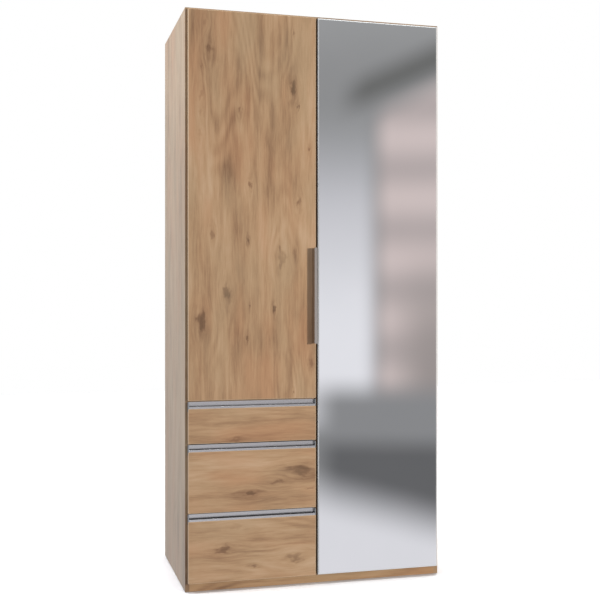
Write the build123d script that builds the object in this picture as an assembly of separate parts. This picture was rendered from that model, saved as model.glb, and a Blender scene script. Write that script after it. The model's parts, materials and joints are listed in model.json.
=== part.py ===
from build123d import *
import os

# A two-door wardrobe in oak decor. Its left column has one door over three drawers, and its
# right column has one tall mirror door. All sizes are in millimetres. X runs to the right, Y
# runs from the front to the back, and Z runs up. The origin is on the floor, in the middle of
# the wardrobe's overall width and depth.

# ---- the whole wardrobe
WIDTH = 1000.0             # outer face to outer face of the side panels
HEIGHT = 2160.0            # floor to the top of the side panels
DEPTH = 560.0              # front edge to rear edge of the side panels

# ---- boards and how they sit together
BOARD = 16.0               # melamine-faced chipboard of the carcass
BACK_BOARD = 3.0           # hardboard of the backs
DRAWER_BOARD = 12.0        # sides and backs of the drawer boxes
DRAWER_BASE = 4.0          # bottoms of the drawer boxes
GROOVE_DEPTH = 6.0         # grooves that hold the backs and the drawer bottoms
GROOVE_PLAY = 0.2          # play on each side of a board in its groove
GROOVE_SETBACK = 12.0      # rear edge of a carcass panel to its groove
GROOVE_END_PLAY = 0.5      # play at the edge of a board in its groove
PAST = 1.0                 # how far a cut runs on past the face that it leaves by
PLINTH_HEIGHT = 43.0       # height of the plinth boards
GLIDE_HEIGHT = 3.0         # floor glides under the panels

# ---- fronts
FRONT = 18.0               # thickness of doors and drawer fronts
FRONT_GAP = 2.5            # carcass front edges to the rear face of the fronts
FRONT_BOTTOM = 36.0        # floor to the lowest edge of the fronts
REVEAL = 9.0               # carcass edge left showing beside and above the fronts
CENTRE_GAP = 9.0           # between the left fronts and the mirror door
GRIP_GAP = 22.0            # from a drawer's grip lip up to the front above it
DRAWER_FRONTS = {"lower": 228.0, "middle": 226.0, "upper": 129.0}  # board heights, from below
EDGE_RADIUS = 0.8          # rounding of the edge bands on the fronts

# ---- mirror
MIRROR = 3.0               # glass thickness
MIRROR_INSET = 3.0         # edge of the mirror door to the edge of the glass
MIRROR_BEVEL = 1.2         # ground edge of the glass

# ---- aluminium grip rail along the top of each drawer front
LIP_HEIGHT = 8.0           # lip above the front board
LIP_WALL = 1.8
RAIL_WALL = 1.5
RAIL_REBATE_DEPTH = 12.0   # rebate in the rear top edge of the front board
RAIL_REBATE_START = 5.0    # front face to the rebate
RAIL_RISE = 25.0           # rear wall of the rail above the front board
RAIL_CAP = 3.0             # end caps

# ---- bar handle on the left door
HANDLE_LENGTH = 361.0
HANDLE_BOTTOM = 207.0      # lower edge of the left door to the lower end of the handle
HANDLE_WIDTH = 12.0
HANDLE_BAR = 12.0          # thickness of the bar, front to back
HANDLE_REACH = 34.0        # door face to the front of the bar
HANDLE_FOOT = 9.0          # height of each foot
HANDLE_WEB = 3.0           # wall that closes the bar's left side down to the door
HANDLE_INSET = 8.0         # door edge to the middle of the bar
HANDLE_CHAMFER = 3.5
HANDLE_EDGE = 0.8          # rounding of the other edges

# ---- insides
HAT_SPACE = 300.0          # top panel to the hat shelves
HAT_SHELF_SETBACK = 20.0   # carcass front edge to the front of a hat shelf
SHELF_REAR_GAP = 2.0       # shelves to the backs
SHELF_SIDE_GAP = 0.5
SHELF_COVER = 8.0          # how far the left door overlaps the shelf over the drawers
SHELF_PIN_RADIUS = 2.5
PEG_DEPTH = 7.0            # how far pins and pegs go into a panel
SHELF_PIN_OUT = 8.0
SHELF_PIN_INSET = 40.0     # edge of a shelf to its pins
RAIL_DROP = 55.0           # hat shelf to the middle of the clothes rail
CLOTHES_RAIL_HEIGHT = 30.0
CLOTHES_RAIL_WIDTH = 15.0
CLOTHES_RAIL_WALL = 1.0
SOCKET_WALL = 3.0
SOCKET_PLATE = 2.5
SOCKET_DEPTH = 12.0
SOCKET_PLAY = 0.3          # clothes rail in its socket
SOCKET_PEG_SPACING = 32.0
SOCKET_EAR = 5.0           # middle of a peg to the edge of its ear

# ---- drawer boxes and their roller runners
DRAWER_REAR_SPACE = 95.0   # back of a drawer box to the backs
BOX_LIFT = 36.0            # lower edge of a drawer front to the lower edge of its box
BOX_HEIGHTS = {"lower": 180.0, "middle": 180.0, "upper": 92.0}
BASE_LIFT = 10.0           # lower edge of a box side to the underside of its bottom
RUNNER_SPACE = 12.5        # drawer side to the carcass panel beside it
RUNNER_SHEET = 1.2         # sheet steel of the runners
RUNNER_START = 2.0         # carcass front edge to the front of the cabinet runner
RUNNER_FLANGE = 9.5        # width of the cabinet runner's flanges
RUNNER_DROP = 0.3          # cabinet runner below the drawer box
ROLLER_RADIUS = 8.4
ROLLER_WIDTH = 5.0
ROLLER_GAP = 0.3           # roller to the track above and below it
FRONT_ROLLER_INSET = 4.0   # carcass panel to the face of a front roller
FRONT_ROLLER_Y = 18.0      # front of the cabinet runner to its roller's axle
RUNNER_SCREW_FRONT = 45.0  # front of the cabinet runner to its first screw
RUNNER_SCREW_REAR = 16.0   # rear end of the cabinet runner to its last screw
OPEN_FRONT = 36.0          # front stretch of the cabinet runner with no upper flange
REAR_ROLLER_Y = 12.0       # rear end of the drawer box to its roller's axle
TRACK_GAP = 1.5            # cabinet runner to the drawer's track above it
TRACK_SIDE_GAP = 2.2       # carcass panel to the edge of the drawer's track
AXLE_RADIUS = 2.0
AXLE_HEAD_RADIUS = 3.4
AXLE_HEAD = 0.6
RUNNING_FIT = 0.05         # radial clearance of a turning piece on its axle or pin
SIDE_FIT = 0.35            # end clearance of a roller between its stops

# ---- concealed hinges
LEFT_HINGES = 3
RIGHT_HINGES = 4
HINGE_FROM_END = 90.0      # door end to the first hinge
PIN_FROM_EDGE = 4.5        # door edge to the hinge axis
PIN_DEPTH = 4.25           # rear face of the door to the hinge axis
PIN_RADIUS = 1.0
PIN_FIT = 0.01             # radial clearance of the pin in the arm that grips it
KNUCKLE_RADIUS = 2.0
ARM_SHEET = 1.5
ARM_WIDTH = 13.0
ARM_REACH = 52.0           # carcass front edge to the rear end of the arm
ARM_CHEEK = 8.0            # height of the arm's folded sides
ARM_CHEEK_START = 10.0     # carcass front edge to the start of the folded sides
ARM_CLEARANCE = 0.6        # arm to the rear face of the opened door
PLATE_MIN = 2.0
PLATE_SPAN = (22.0, 52.0)  # carcass front edge to the two ends of the plate
PLATE_HALF_WIDTH = 8.0
WING_HALF_WIDTH = 22.0
WING_HALF_HEIGHT = 6.0
PLATE_SCREW_Y = 37.0       # carcass front edge to the line of plate screws
PLATE_SCREW_Z = 16.0
CUP_RADIUS = 17.5
CUP_FROM_EDGE = 3.0        # door edge to the cup
CUP_DEPTH = 11.5
CUP_WALL = 1.0
CUP_PLAY = 0.1             # cup in its hole
CUP_FLANGE = 0.8
CUP_RIM = 1.5              # flange beyond the cup
CUP_EAR = 1.5              # the two ears that carry the hinge pin
CUP_NOSE_PLAY = 0.5        # arm between the ears
CUP_SCREW_SPACING = 45.0
CUP_SCREW_OFFSET = 9.5     # cup centre to the line of its screws
CUP_TONGUE = 14.0          # width of the flange around its screws
CUP_TONGUE_CORNER = 5.25

# ---- fasteners and fittings
SCREW_LENGTH = 13.0
SCREW_RADIUS = 1.75
SCREW_HEAD_RADIUS = 3.5
SCREW_HEAD = 1.6
SCREW_PLAY = 0.05          # screws, dowels and pegs in their holes
RECESS_WIDTH = 0.9         # cross recess in a screw head
RECESS_LENGTH = 4.0
RECESS_DEPTH = 0.8
HANDLE_SCREW_RADIUS = 2.0
HANDLE_SCREW_HEAD_RADIUS = 4.0
HANDLE_SCREW_HEAD = 2.4
HANDLE_SCREW_GRIP = 14.0   # handle screw inside the handle's foot
COUNTERBORE_PLAY = 0.4
CAM_RADIUS = 7.5
CAM_BELOW = 4.5            # middle of a board to the inner end of its cam
CAM_SETBACK = 24.0         # joint face to the middle of the cam
CAM_BORE = 3.8
BOLT_THREAD = 10.5
BOLT_THREAD_RADIUS = 2.5
BOLT_SHANK_RADIUS = 3.0
BOLT_HEAD_RADIUS = 3.4
BOLT_HEAD = 6.0
BOLT_HOLE_RADIUS = 4.0
DOWEL_RADIUS = 4.0
DOWEL_LENGTH = 30.0
DOWEL_IN_FACE = 11.5       # dowel inside the panel that it meets face on
JOINT_INSET = 60.0         # board edge to its nearest cam
DOWEL_SPACING = 32.0       # cam to the dowel beside it
PLINTH_SETBACK = 20.0      # rear edge of the carcass to the rear plinth
GLIDE_EDGE = 0.5           # edge of a board to the glide under it
GLIDE_NAIL_RADIUS = 1.2
GLIDE_NAIL = 10.0
GLIDE_INSET = 45.0         # front or rear edge to the middle of a glide
WALL_HOLE_SPACING = 700.0
WALL_HOLE_RADIUS = 2.75
WALL_HOLE_DROP = 22.0      # top panel to the wall holes
BRACKET_SHEET = 1.5
BRACKET_WIDTH = 20.0
BRACKET_LEG = 30.0
BRACKET_DROP = 40.0
BRACKET_SCREW_Y = 16.0     # backs to the bracket's screw

# ---- planes and heights that follow from the sizes above
CARCASS_Y = (FRONT_GAP + FRONT + HANDLE_REACH - DEPTH) / 2   # front edges of the carcass
REAR_Y = CARCASS_Y + DEPTH
FRONT_REAR_Y = CARCASS_Y - FRONT_GAP                         # rear face of the fronts
FACE_Y = FRONT_REAR_Y - FRONT                                # face of the fronts
OUTER_X = WIDTH / 2
INNER_X = OUTER_X - BOARD                                    # inner face of a side panel
GROOVE_Y = REAR_Y - GROOVE_SETBACK - BACK_BOARD - 2 * GROOVE_PLAY
BACK_Y = GROOVE_Y + GROOVE_PLAY                              # front face of the backs
BASE_Z = GLIDE_HEIGHT + PLINTH_HEIGHT                        # underside of the bottom panel
FLOOR_Z = BASE_Z + BOARD                                     # top of the bottom panel
CEILING_Z = HEIGHT - BOARD                                   # underside of the top panel
LEFT_EDGE = -OUTER_X + REVEAL                                # fronts of the left column
RIGHT_EDGE = -CENTRE_GAP / 2
DOOR_TOP = HEIGHT - REVEAL
HAT_SHELF_Z = CEILING_Z - HAT_SPACE                          # top of the hat shelves
SHELF_REAR_Y = BACK_Y - SHELF_REAR_GAP
RUNNER_LENGTH = SHELF_REAR_Y - DRAWER_REAR_SPACE - CARCASS_Y
BOX_REAR_Y = CARCASS_Y + RUNNER_LENGTH                       # rear end of the drawer boxes
PIN_X = LEFT_EDGE + PIN_FROM_EDGE                            # hinge axis of the left door
PIN_Y = FRONT_REAR_Y - PIN_DEPTH
PLATE = max(PLATE_MIN, PIN_X + PIN_DEPTH + ARM_CLEARANCE + INNER_X)  # hinge plate thickness
ROLLER_INSET = RUNNER_SHEET + SCREW_HEAD + ROLLER_GAP + AXLE_HEAD + SIDE_FIT  # panel to a rear roller
TRACK_Z = 2 * (ROLLER_RADIUS + ROLLER_GAP) + 2 * RUNNER_SHEET - RUNNER_DROP + TRACK_GAP


def front_stack():
    """The lower and upper edge of each drawer front's board, and the lower edge of the door."""
    edges = {}
    bottom = FRONT_BOTTOM
    for name, height in DRAWER_FRONTS.items():
        edges[name] = (bottom, bottom + height)
        bottom += height + LIP_HEIGHT + GRIP_GAP
    return edges, bottom


DRAWER_EDGES, DOOR_BOTTOM = front_stack()
HOUSING_Z = DOOR_BOTTOM + SHELF_COVER                        # top of the shelf over the drawers


def block(x, y, z):
    """A box between a low and a high value on each axis."""
    box = Box(x[1] - x[0], y[1] - y[0], z[1] - z[0], align=(Align.MIN,) * 3)
    return Pos(x[0], y[0], z[0]) * box


def rod(radius, start, end):
    """A round bar between two points."""
    run = Vector(*end) - Vector(*start)
    bar = Cylinder(radius, run.length, align=(Align.CENTER, Align.CENTER, Align.MIN))
    return Plane(origin=start, z_dir=run) * bar


def along_x(outline, x):
    """An outline in Y and Z, drawn out between two values of X."""
    face = Plane.YZ * make_face(Polyline(*outline, close=True))
    return Pos(x[0], 0, 0) * extrude(face, x[1] - x[0])


def mirrored(shapes):
    """The same shapes on the other side of the wardrobe's middle."""
    return [mirror(shape, about=Plane.YZ) for shape in shapes]


def cut(body, tools):
    """The body with every tool taken away."""
    for tool in tools:
        body = body - tool
    return body


def group(shapes):
    """Separate solids that share one node."""
    return Compound([solid for shape in shapes for solid in shape.solids()])


def screw(at, direction, radius=SCREW_RADIUS, length=SCREW_LENGTH,
          head_radius=SCREW_HEAD_RADIUS, head=SCREW_HEAD):
    """A cross-head screw whose head sits on the point, with its shank along the direction."""
    frame = Plane(origin=at, z_dir=direction)
    shape = Cylinder(radius, length, align=(Align.CENTER, Align.CENTER, Align.MIN))
    shape += Cylinder(head_radius, head, align=(Align.CENTER, Align.CENTER, Align.MAX))
    for size in ((RECESS_LENGTH, RECESS_WIDTH), (RECESS_WIDTH, RECESS_LENGTH)):
        recess = Box(*size, RECESS_DEPTH, align=(Align.CENTER, Align.CENTER, Align.MIN))
        shape -= Pos(0, 0, -head) * recess
    return frame * shape


def screw_hole(at, direction, radius=SCREW_RADIUS, length=SCREW_LENGTH):
    """The hole that a screw's shank goes into, a little longer than the screw."""
    end = Vector(*at) + Vector(*direction).normalized() * (length + SCREW_PLAY)
    return rod(radius + SCREW_PLAY, at, tuple(end))


# ---- carcass joinery

def cam_joint(at, into, face):
    """A cam disc and its bolt, and what they take out of the two boards that they join."""
    frame = Plane(origin=at, x_dir=face, z_dir=into)
    bore = rod(CAM_BORE, (0, 0, 0), (0, 0, -CAM_SETBACK - CAM_BORE))
    disc_start = (-CAM_BELOW, 0, -CAM_SETBACK)
    disc_end = (BOARD / 2, 0, -CAM_SETBACK)
    disc = rod(CAM_RADIUS, disc_start, disc_end) - bore
    for size in ((RECESS_WIDTH, 2 * RECESS_LENGTH), (2 * RECESS_LENGTH, RECESS_WIDTH)):
        recess = Box(2 * RECESS_DEPTH, *size)
        disc -= Pos(*disc_end) * recess
    head_end = -CAM_SETBACK + BOLT_HEAD / 2
    bolt = rod(BOLT_THREAD_RADIUS, (0, 0, 0), (0, 0, BOLT_THREAD))
    bolt += rod(BOLT_SHANK_RADIUS, (0, 0, head_end), (0, 0, 0))
    bolt += rod(BOLT_HEAD_RADIUS, (0, 0, head_end - BOLT_HEAD), (0, 0, head_end))
    own = rod(CAM_RADIUS + SCREW_PLAY, disc_start, disc_end)
    own += rod(BOLT_HOLE_RADIUS, (0, 0, -CAM_SETBACK), (0, 0, 0))
    other = rod(BOLT_THREAD_RADIUS + SCREW_PLAY, (0, 0, 0), (0, 0, BOLT_THREAD + SCREW_PLAY))
    return frame * disc, frame * bolt, frame * own, frame * other


def dowel_joint(at, into):
    """A dowel across a joint, and its hole in each of the two boards."""
    step = Vector(*into).normalized()
    deep = Vector(*at) + step * DOWEL_IN_FACE
    back = deep - step * DOWEL_LENGTH
    play = step * SCREW_PLAY
    hole = rod(DOWEL_RADIUS + SCREW_PLAY, tuple(back - play), tuple(deep + play))
    return rod(DOWEL_RADIUS, tuple(back), tuple(deep)), hole


def carcass_joints():
    """Each joint as: board with the cam, board it meets, point, direction, cam's face, depth step."""
    sides = ((-1, "left_side_panel"), (1, "right_side_panel"))
    rows = []
    for side, panel in sides:
        for board, z, face in (("top_panel", HEIGHT - BOARD / 2, (0, 0, 1)),
                               ("bottom_panel", FLOOR_Z - BOARD / 2, (0, 0, -1))):
            rows.append((board, panel, (side * INNER_X, z), (side, 0, 0), face))
    housing_z = HOUSING_Z - BOARD / 2
    for panel, x, side in (("left_side_panel", -INNER_X, -1), ("partition", -BOARD / 2, 1)):
        rows.append(("drawer_housing_shelf", panel, (x, housing_z), (side, 0, 0), (0, 0, -1)))
    rows.append(("partition", "top_panel", (0, CEILING_Z), (0, 0, 1), (1, 0, 0)))
    rows.append(("partition", "bottom_panel", (0, FLOOR_Z), (0, 0, -1), (1, 0, 0)))
    return rows


def plinth_joints():
    """Dowels between the plinth boards, the brace between them and the side panels."""
    z = GLIDE_HEIGHT + PLINTH_HEIGHT / 2
    front = CARCASS_Y + BOARD / 2
    rear = REAR_Y - PLINTH_SETBACK - BOARD / 2
    rows = []
    for board, y in (("front_plinth", front), ("rear_plinth", rear)):
        rows.append((board, "left_side_panel", (-INNER_X, y, z), (-1, 0, 0)))
        rows.append((board, "right_side_panel", (INNER_X, y, z), (1, 0, 0)))
    rows.append(("plinth_brace", "front_plinth", (0, front + BOARD / 2, z), (0, -1, 0)))
    rows.append(("plinth_brace", "rear_plinth", (0, rear - BOARD / 2, z), (0, 1, 0)))
    return rows


def back_groove(x, z):
    """The groove for a back, over the given span."""
    return block(x, (GROOVE_Y, GROOVE_Y + BACK_BOARD + 2 * GROOVE_PLAY), z)


def carcass_boards():
    """Panels, plinth, shelf over the drawers and backs, before their holes."""
    boards = {}
    upright = (GLIDE_HEIGHT, HEIGHT)
    full = (CARCASS_Y, REAR_Y)
    side = block((-OUTER_X, -INNER_X), full, upright)
    side -= back_groove((-INNER_X - GROOVE_DEPTH, -INNER_X), upright)
    boards["left_side_panel"] = side
    boards["right_side_panel"] = mirrored([side])[0]
    span = (-INNER_X, INNER_X)
    boards["top_panel"] = block(span, full, (CEILING_Z, HEIGHT))
    boards["top_panel"] -= back_groove(span, (CEILING_Z, CEILING_Z + GROOVE_DEPTH))
    boards["bottom_panel"] = block(span, full, (BASE_Z, FLOOR_Z))
    boards["bottom_panel"] -= back_groove(span, (FLOOR_Z - GROOVE_DEPTH, FLOOR_Z))
    partition = block((-BOARD / 2, BOARD / 2), full, (FLOOR_Z, CEILING_Z))
    for x in ((-BOARD / 2, -BOARD / 2 + GROOVE_DEPTH), (BOARD / 2 - GROOVE_DEPTH, BOARD / 2)):
        partition -= back_groove(x, (FLOOR_Z, CEILING_Z))
    boards["partition"] = partition
    plinth_z = (GLIDE_HEIGHT, BASE_Z)
    rear = REAR_Y - PLINTH_SETBACK
    boards["front_plinth"] = block(span, (CARCASS_Y, CARCASS_Y + BOARD), plinth_z)
    boards["rear_plinth"] = block(span, (rear - BOARD, rear), plinth_z)
    boards["plinth_brace"] = block((-BOARD / 2, BOARD / 2), (CARCASS_Y + BOARD, rear - BOARD), plinth_z)
    boards["drawer_housing_shelf"] = block(
        (-INNER_X, -BOARD / 2), (CARCASS_Y, SHELF_REAR_Y), (HOUSING_Z - BOARD, HOUSING_Z))
    inside = GROOVE_DEPTH - GROOVE_END_PLAY
    back = block((-INNER_X - inside, -BOARD / 2 + inside), (BACK_Y, BACK_Y + BACK_BOARD),
                 (FLOOR_Z - inside, CEILING_Z + inside))
    wall_z = CEILING_Z - WALL_HOLE_DROP
    back -= rod(WALL_HOLE_RADIUS, (-WALL_HOLE_SPACING / 2, BACK_Y - PAST, wall_z),
                (-WALL_HOLE_SPACING / 2, REAR_Y, wall_z))
    boards["left_back_board"] = back
    boards["right_back_board"] = mirrored([back])[0]
    return boards


def join_carcass(boards):
    """Drills the carcass boards and returns their cam discs, bolts and dowels."""
    discs, bolts, dowels = [], [], []
    for own, other, (x, z), into, face in carcass_joints():
        rear = SHELF_REAR_Y if own == "drawer_housing_shelf" else GROOVE_Y
        for y, step in ((CARCASS_Y + JOINT_INSET, DOWEL_SPACING), (rear - JOINT_INSET, -DOWEL_SPACING)):
            disc, bolt, own_hole, other_hole = cam_joint((x, y, z), into, face)
            dowel, hole = dowel_joint((x, y + step, z), into)
            boards[own] = cut(boards[own], (own_hole, hole))
            boards[other] = cut(boards[other], (other_hole, hole))
            discs.append(disc)
            bolts.append(bolt)
            dowels.append(dowel)
    for own, other, at, into in plinth_joints():
        dowel, hole = dowel_joint(at, into)
        boards[own] -= hole
        boards[other] -= hole
        dowels.append(dowel)
    return {"cam_discs": group(discs), "cam_bolts": group(bolts), "dowels": group(dowels)}


def glides(boards):
    """Nail-on glides under the side panels and the plinth brace."""
    made = []
    for board, x in (("left_side_panel", -OUTER_X + BOARD / 2), ("plinth_brace", 0),
                     ("right_side_panel", OUTER_X - BOARD / 2)):
        for y in (CARCASS_Y + GLIDE_INSET, REAR_Y - GLIDE_INSET):
            top = GLIDE_HEIGHT + GLIDE_NAIL
            made.append(rod(BOARD / 2 - GLIDE_EDGE, (x, y, 0), (x, y, GLIDE_HEIGHT))
                        + rod(GLIDE_NAIL_RADIUS, (x, y, GLIDE_HEIGHT), (x, y, top)))
            boards[board] -= rod(GLIDE_NAIL_RADIUS + SCREW_PLAY, (x, y, GLIDE_HEIGHT),
                                 (x, y, top + SCREW_PLAY))
    return group(made)


def wall_brackets(boards):
    """Angle brackets under the top panel that hold the wardrobe to the wall, and their screws."""
    made, screws = [], []
    for x in (-WALL_HOLE_SPACING / 2, WALL_HOLE_SPACING / 2):
        wide = (x - BRACKET_WIDTH / 2, x + BRACKET_WIDTH / 2)
        shape = block(wide, (BACK_Y - BRACKET_LEG, BACK_Y), (CEILING_Z - BRACKET_SHEET, CEILING_Z))
        shape += block(wide, (BACK_Y - BRACKET_SHEET, BACK_Y), (CEILING_Z - BRACKET_DROP, CEILING_Z))
        wall_z = CEILING_Z - WALL_HOLE_DROP
        shape -= rod(WALL_HOLE_RADIUS, (x, BACK_Y - BRACKET_LEG, wall_z), (x, REAR_Y, wall_z))
        seat = (x, BACK_Y - BRACKET_SCREW_Y, CEILING_Z - BRACKET_SHEET)
        hole = screw_hole(seat, (0, 0, 1))
        boards["top_panel"] -= hole
        made.append(shape - hole)
        screws.append(screw(seat, (0, 0, 1)))
    return group(made), screws


# ---- shelves and clothes rails

def hat_shelf(boards):
    """The left hat shelf with its four pins, and the pins' holes in the panels beside it."""
    x = (-INNER_X + SHELF_SIDE_GAP, -BOARD / 2 - SHELF_SIDE_GAP)
    y = (CARCASS_Y + HAT_SHELF_SETBACK, SHELF_REAR_Y)
    shelf = block(x, y, (HAT_SHELF_Z - BOARD, HAT_SHELF_Z))
    z = HAT_SHELF_Z - BOARD - SHELF_PIN_RADIUS
    pins = []
    for panel, face, out in (("left_side_panel", -INNER_X, 1), ("partition", -BOARD / 2, -1)):
        for pin_y in (y[0] + SHELF_PIN_INSET, y[1] - SHELF_PIN_INSET):
            inner = (face - out * PEG_DEPTH, pin_y, z)
            pins.append(rod(SHELF_PIN_RADIUS, inner, (face + out * SHELF_PIN_OUT, pin_y, z)))
            drill_both(boards, panel, rod(SHELF_PIN_RADIUS + SCREW_PLAY,
                                          (inner[0] - out * SCREW_PLAY, pin_y, z), (face, pin_y, z)))
    return shelf, pins


def drill_both(boards, panel, hole):
    """Drills a left-hand hole, and its mirror image on the right."""
    opposite = {"left_side_panel": "right_side_panel", "partition": "partition"}[panel]
    boards[panel] -= hole
    boards[opposite] -= mirrored([hole])[0]


def oval(height, width, x):
    """An upright oval bar along X."""
    at = Pos(x[0], (CARCASS_Y + BACK_Y) / 2, HAT_SHELF_Z - BOARD - RAIL_DROP)
    return at * extrude(Plane.YZ * SlotOverall(height, width, rotation=90), x[1] - x[0])


def clothes_rail(boards):
    """The left clothes rail, an oval tube, with the sockets that hold its two ends."""
    faces = (-INNER_X, -BOARD / 2)
    ends = (faces[0] + SOCKET_PLATE + SOCKET_PLAY, faces[1] - SOCKET_PLATE - SOCKET_PLAY)
    tube = oval(CLOTHES_RAIL_HEIGHT, CLOTHES_RAIL_WIDTH, ends)
    inner = (CLOTHES_RAIL_HEIGHT - 2 * CLOTHES_RAIL_WALL, CLOTHES_RAIL_WIDTH - 2 * CLOTHES_RAIL_WALL)
    tube -= oval(*inner, (ends[0] - PAST, ends[1] + PAST))
    mid_y = (CARCASS_Y + BACK_Y) / 2
    z = HAT_SHELF_Z - BOARD - RAIL_DROP
    outer = 2 * SOCKET_WALL + 2 * SOCKET_PLAY
    sockets = []
    for panel, face, out in (("left_side_panel", faces[0], 1), ("partition", faces[1], -1)):
        span = sorted((face, face + out * SOCKET_DEPTH))
        bore = sorted((face + out * SOCKET_PLATE, face + out * (SOCKET_DEPTH + PAST)))
        shape = oval(CLOTHES_RAIL_HEIGHT + outer, CLOTHES_RAIL_WIDTH + outer, span)
        loose = 2 * SOCKET_PLAY
        shape -= oval(CLOTHES_RAIL_HEIGHT + loose, CLOTHES_RAIL_WIDTH + loose, bore)
        for side in (-1, 1):
            y = mid_y + side * SOCKET_PEG_SPACING / 2
            plate = sorted((face, face + out * SOCKET_PLATE))
            ear = block(plate, sorted((mid_y, y + side * SOCKET_EAR)), (z - SOCKET_EAR, z + SOCKET_EAR))
            shape += ear - oval(CLOTHES_RAIL_HEIGHT, CLOTHES_RAIL_WIDTH, span)
            shape += rod(SHELF_PIN_RADIUS, (face, y, z), (face - out * PEG_DEPTH, y, z))
            drill_both(boards, panel, rod(SHELF_PIN_RADIUS + SCREW_PLAY, (face, y, z),
                                          (face - out * (PEG_DEPTH + SCREW_PLAY), y, z)))
        sockets.append(shape)
    return tube, sockets


# ---- concealed hinges, drawn for the left door

def hinge_heights(bottom, count):
    """The middles of a door's hinges, evenly spaced between its ends."""
    first = bottom + HINGE_FROM_END
    step = (DOOR_TOP - HINGE_FROM_END - first) / (count - 1)
    return [first + i * step for i in range(count)]


def hinge_arm(z):
    """The fixed arm: it grips the pin, leaves the cup and turns back along the side panel."""
    wide = (z - ARM_WIDTH / 2, z + ARM_WIDTH / 2)
    leg_x = -INNER_X + PLATE
    front = PIN_Y - KNUCKLE_RADIUS
    rear = CARCASS_Y + ARM_REACH
    arm = rod(KNUCKLE_RADIUS, (PIN_X, PIN_Y, wide[0]), (PIN_X, PIN_Y, wide[1]))
    arm += block((PIN_X, leg_x + ARM_SHEET), (front, front + ARM_SHEET), wide)
    arm += block((leg_x, leg_x + ARM_SHEET), (front, rear), wide)
    for low, high in ((wide[0], wide[0] + ARM_SHEET), (wide[1] - ARM_SHEET, wide[1])):
        arm += block((leg_x, leg_x + ARM_CHEEK), (CARCASS_Y + ARM_CHEEK_START, rear), (low, high))
    arm -= rod(PIN_RADIUS + PIN_FIT, (PIN_X, PIN_Y, wide[0] - PAST), (PIN_X, PIN_Y, wide[1] + PAST))
    return arm - screw_hole((leg_x + ARM_SHEET, CARCASS_Y + PLATE_SCREW_Y, z), (-1, 0, 0))


def hinge_pin(z):
    """The pin, fast in the arm and turning in the cup's ears."""
    half = ARM_WIDTH / 2 + CUP_NOSE_PLAY + CUP_EAR - SCREW_PLAY
    return rod(PIN_RADIUS, (PIN_X, PIN_Y, z - half), (PIN_X, PIN_Y, z + half))


def hinge_plate_screws(z):
    """Seats of the screws through the hinge plate's wings and through the arm."""
    y = CARCASS_Y + PLATE_SCREW_Y
    seats = [(-INNER_X + PLATE, y, z + side * PLATE_SCREW_Z) for side in (-1, 1)]
    return seats + [(-INNER_X + PLATE + ARM_SHEET, y, z)]


def hinge_plate(z):
    """The mounting plate on the side panel's inner face."""
    thick = (-INNER_X, -INNER_X + PLATE)
    y = CARCASS_Y + PLATE_SCREW_Y
    ends = [CARCASS_Y + end for end in PLATE_SPAN]
    plate = block(thick, ends, (z - PLATE_HALF_WIDTH, z + PLATE_HALF_WIDTH))
    plate += block(thick, (y - WING_HALF_HEIGHT, y + WING_HALF_HEIGHT),
                   (z - WING_HALF_WIDTH, z + WING_HALF_WIDTH))
    return cut(plate, [screw_hole(seat, (-1, 0, 0)) for seat in hinge_plate_screws(z)])


def cup_centre():
    """X of the middle of the hinge cup."""
    return LEFT_EDGE + CUP_FROM_EDGE + CUP_RADIUS


def cup_pocket(z, grow):
    """The space of the cup and of its nose, which reaches out to the hinge pin."""
    x = cup_centre()
    floor = FRONT_REAR_Y - CUP_DEPTH
    pocket = rod(CUP_RADIUS + grow, (x, floor - grow, z), (x, FRONT_REAR_Y, z))
    half = ARM_WIDTH / 2 + CUP_NOSE_PLAY + CUP_EAR + grow
    reach = KNUCKLE_RADIUS + CUP_NOSE_PLAY + CUP_WALL + grow
    pocket += block((PIN_X - reach, x), (PIN_Y - reach, FRONT_REAR_Y), (z - half, z + half))
    return pocket


def hinge_cup(z):
    """The cup in the door's rear face, with ears that carry the pin and a screwed flange."""
    x = cup_centre()
    proud = FRONT_REAR_Y + CUP_FLANGE
    cup = cup_pocket(z, -CUP_PLAY)
    rim = Pos(x, FRONT_REAR_Y, z) * Rot(-90, 0, 0) * extrude(Circle(CUP_RADIUS + CUP_RIM), CUP_FLANGE)
    tongue = RectangleRounded(CUP_TONGUE, CUP_SCREW_SPACING + CUP_TONGUE, CUP_TONGUE_CORNER)
    cup += rim
    cup += Pos(x + CUP_SCREW_OFFSET, FRONT_REAR_Y, z) * Rot(-90, 0, 0) * extrude(tongue, CUP_FLANGE)
    floor = FRONT_REAR_Y - CUP_DEPTH + CUP_WALL
    cup -= rod(CUP_RADIUS - CUP_PLAY - CUP_WALL, (x, floor, z), (x, proud, z))
    half = ARM_WIDTH / 2 + CUP_NOSE_PLAY
    reach = KNUCKLE_RADIUS + CUP_NOSE_PLAY
    cup -= block((PIN_X - reach, x), (PIN_Y - reach, proud), (z - half, z + half))
    cup -= block((x - CUP_RADIUS - CUP_RIM, x), (FRONT_REAR_Y, proud), (z - half, z + half))
    low, high = z - CUP_RADIUS, z + CUP_RADIUS
    cup -= rod(PIN_RADIUS + RUNNING_FIT, (PIN_X, PIN_Y, low), (PIN_X, PIN_Y, high))
    return cut(cup, [screw_hole(seat, (0, -1, 0)) for seat in cup_screw_seats(z)])


def cup_screw_seats(z):
    """Seats of the two screws through a cup's flange."""
    x = cup_centre() + CUP_SCREW_OFFSET
    return [(x, FRONT_REAR_Y + CUP_FLANGE, z + side * CUP_SCREW_SPACING / 2) for side in (-1, 1)]


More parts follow.
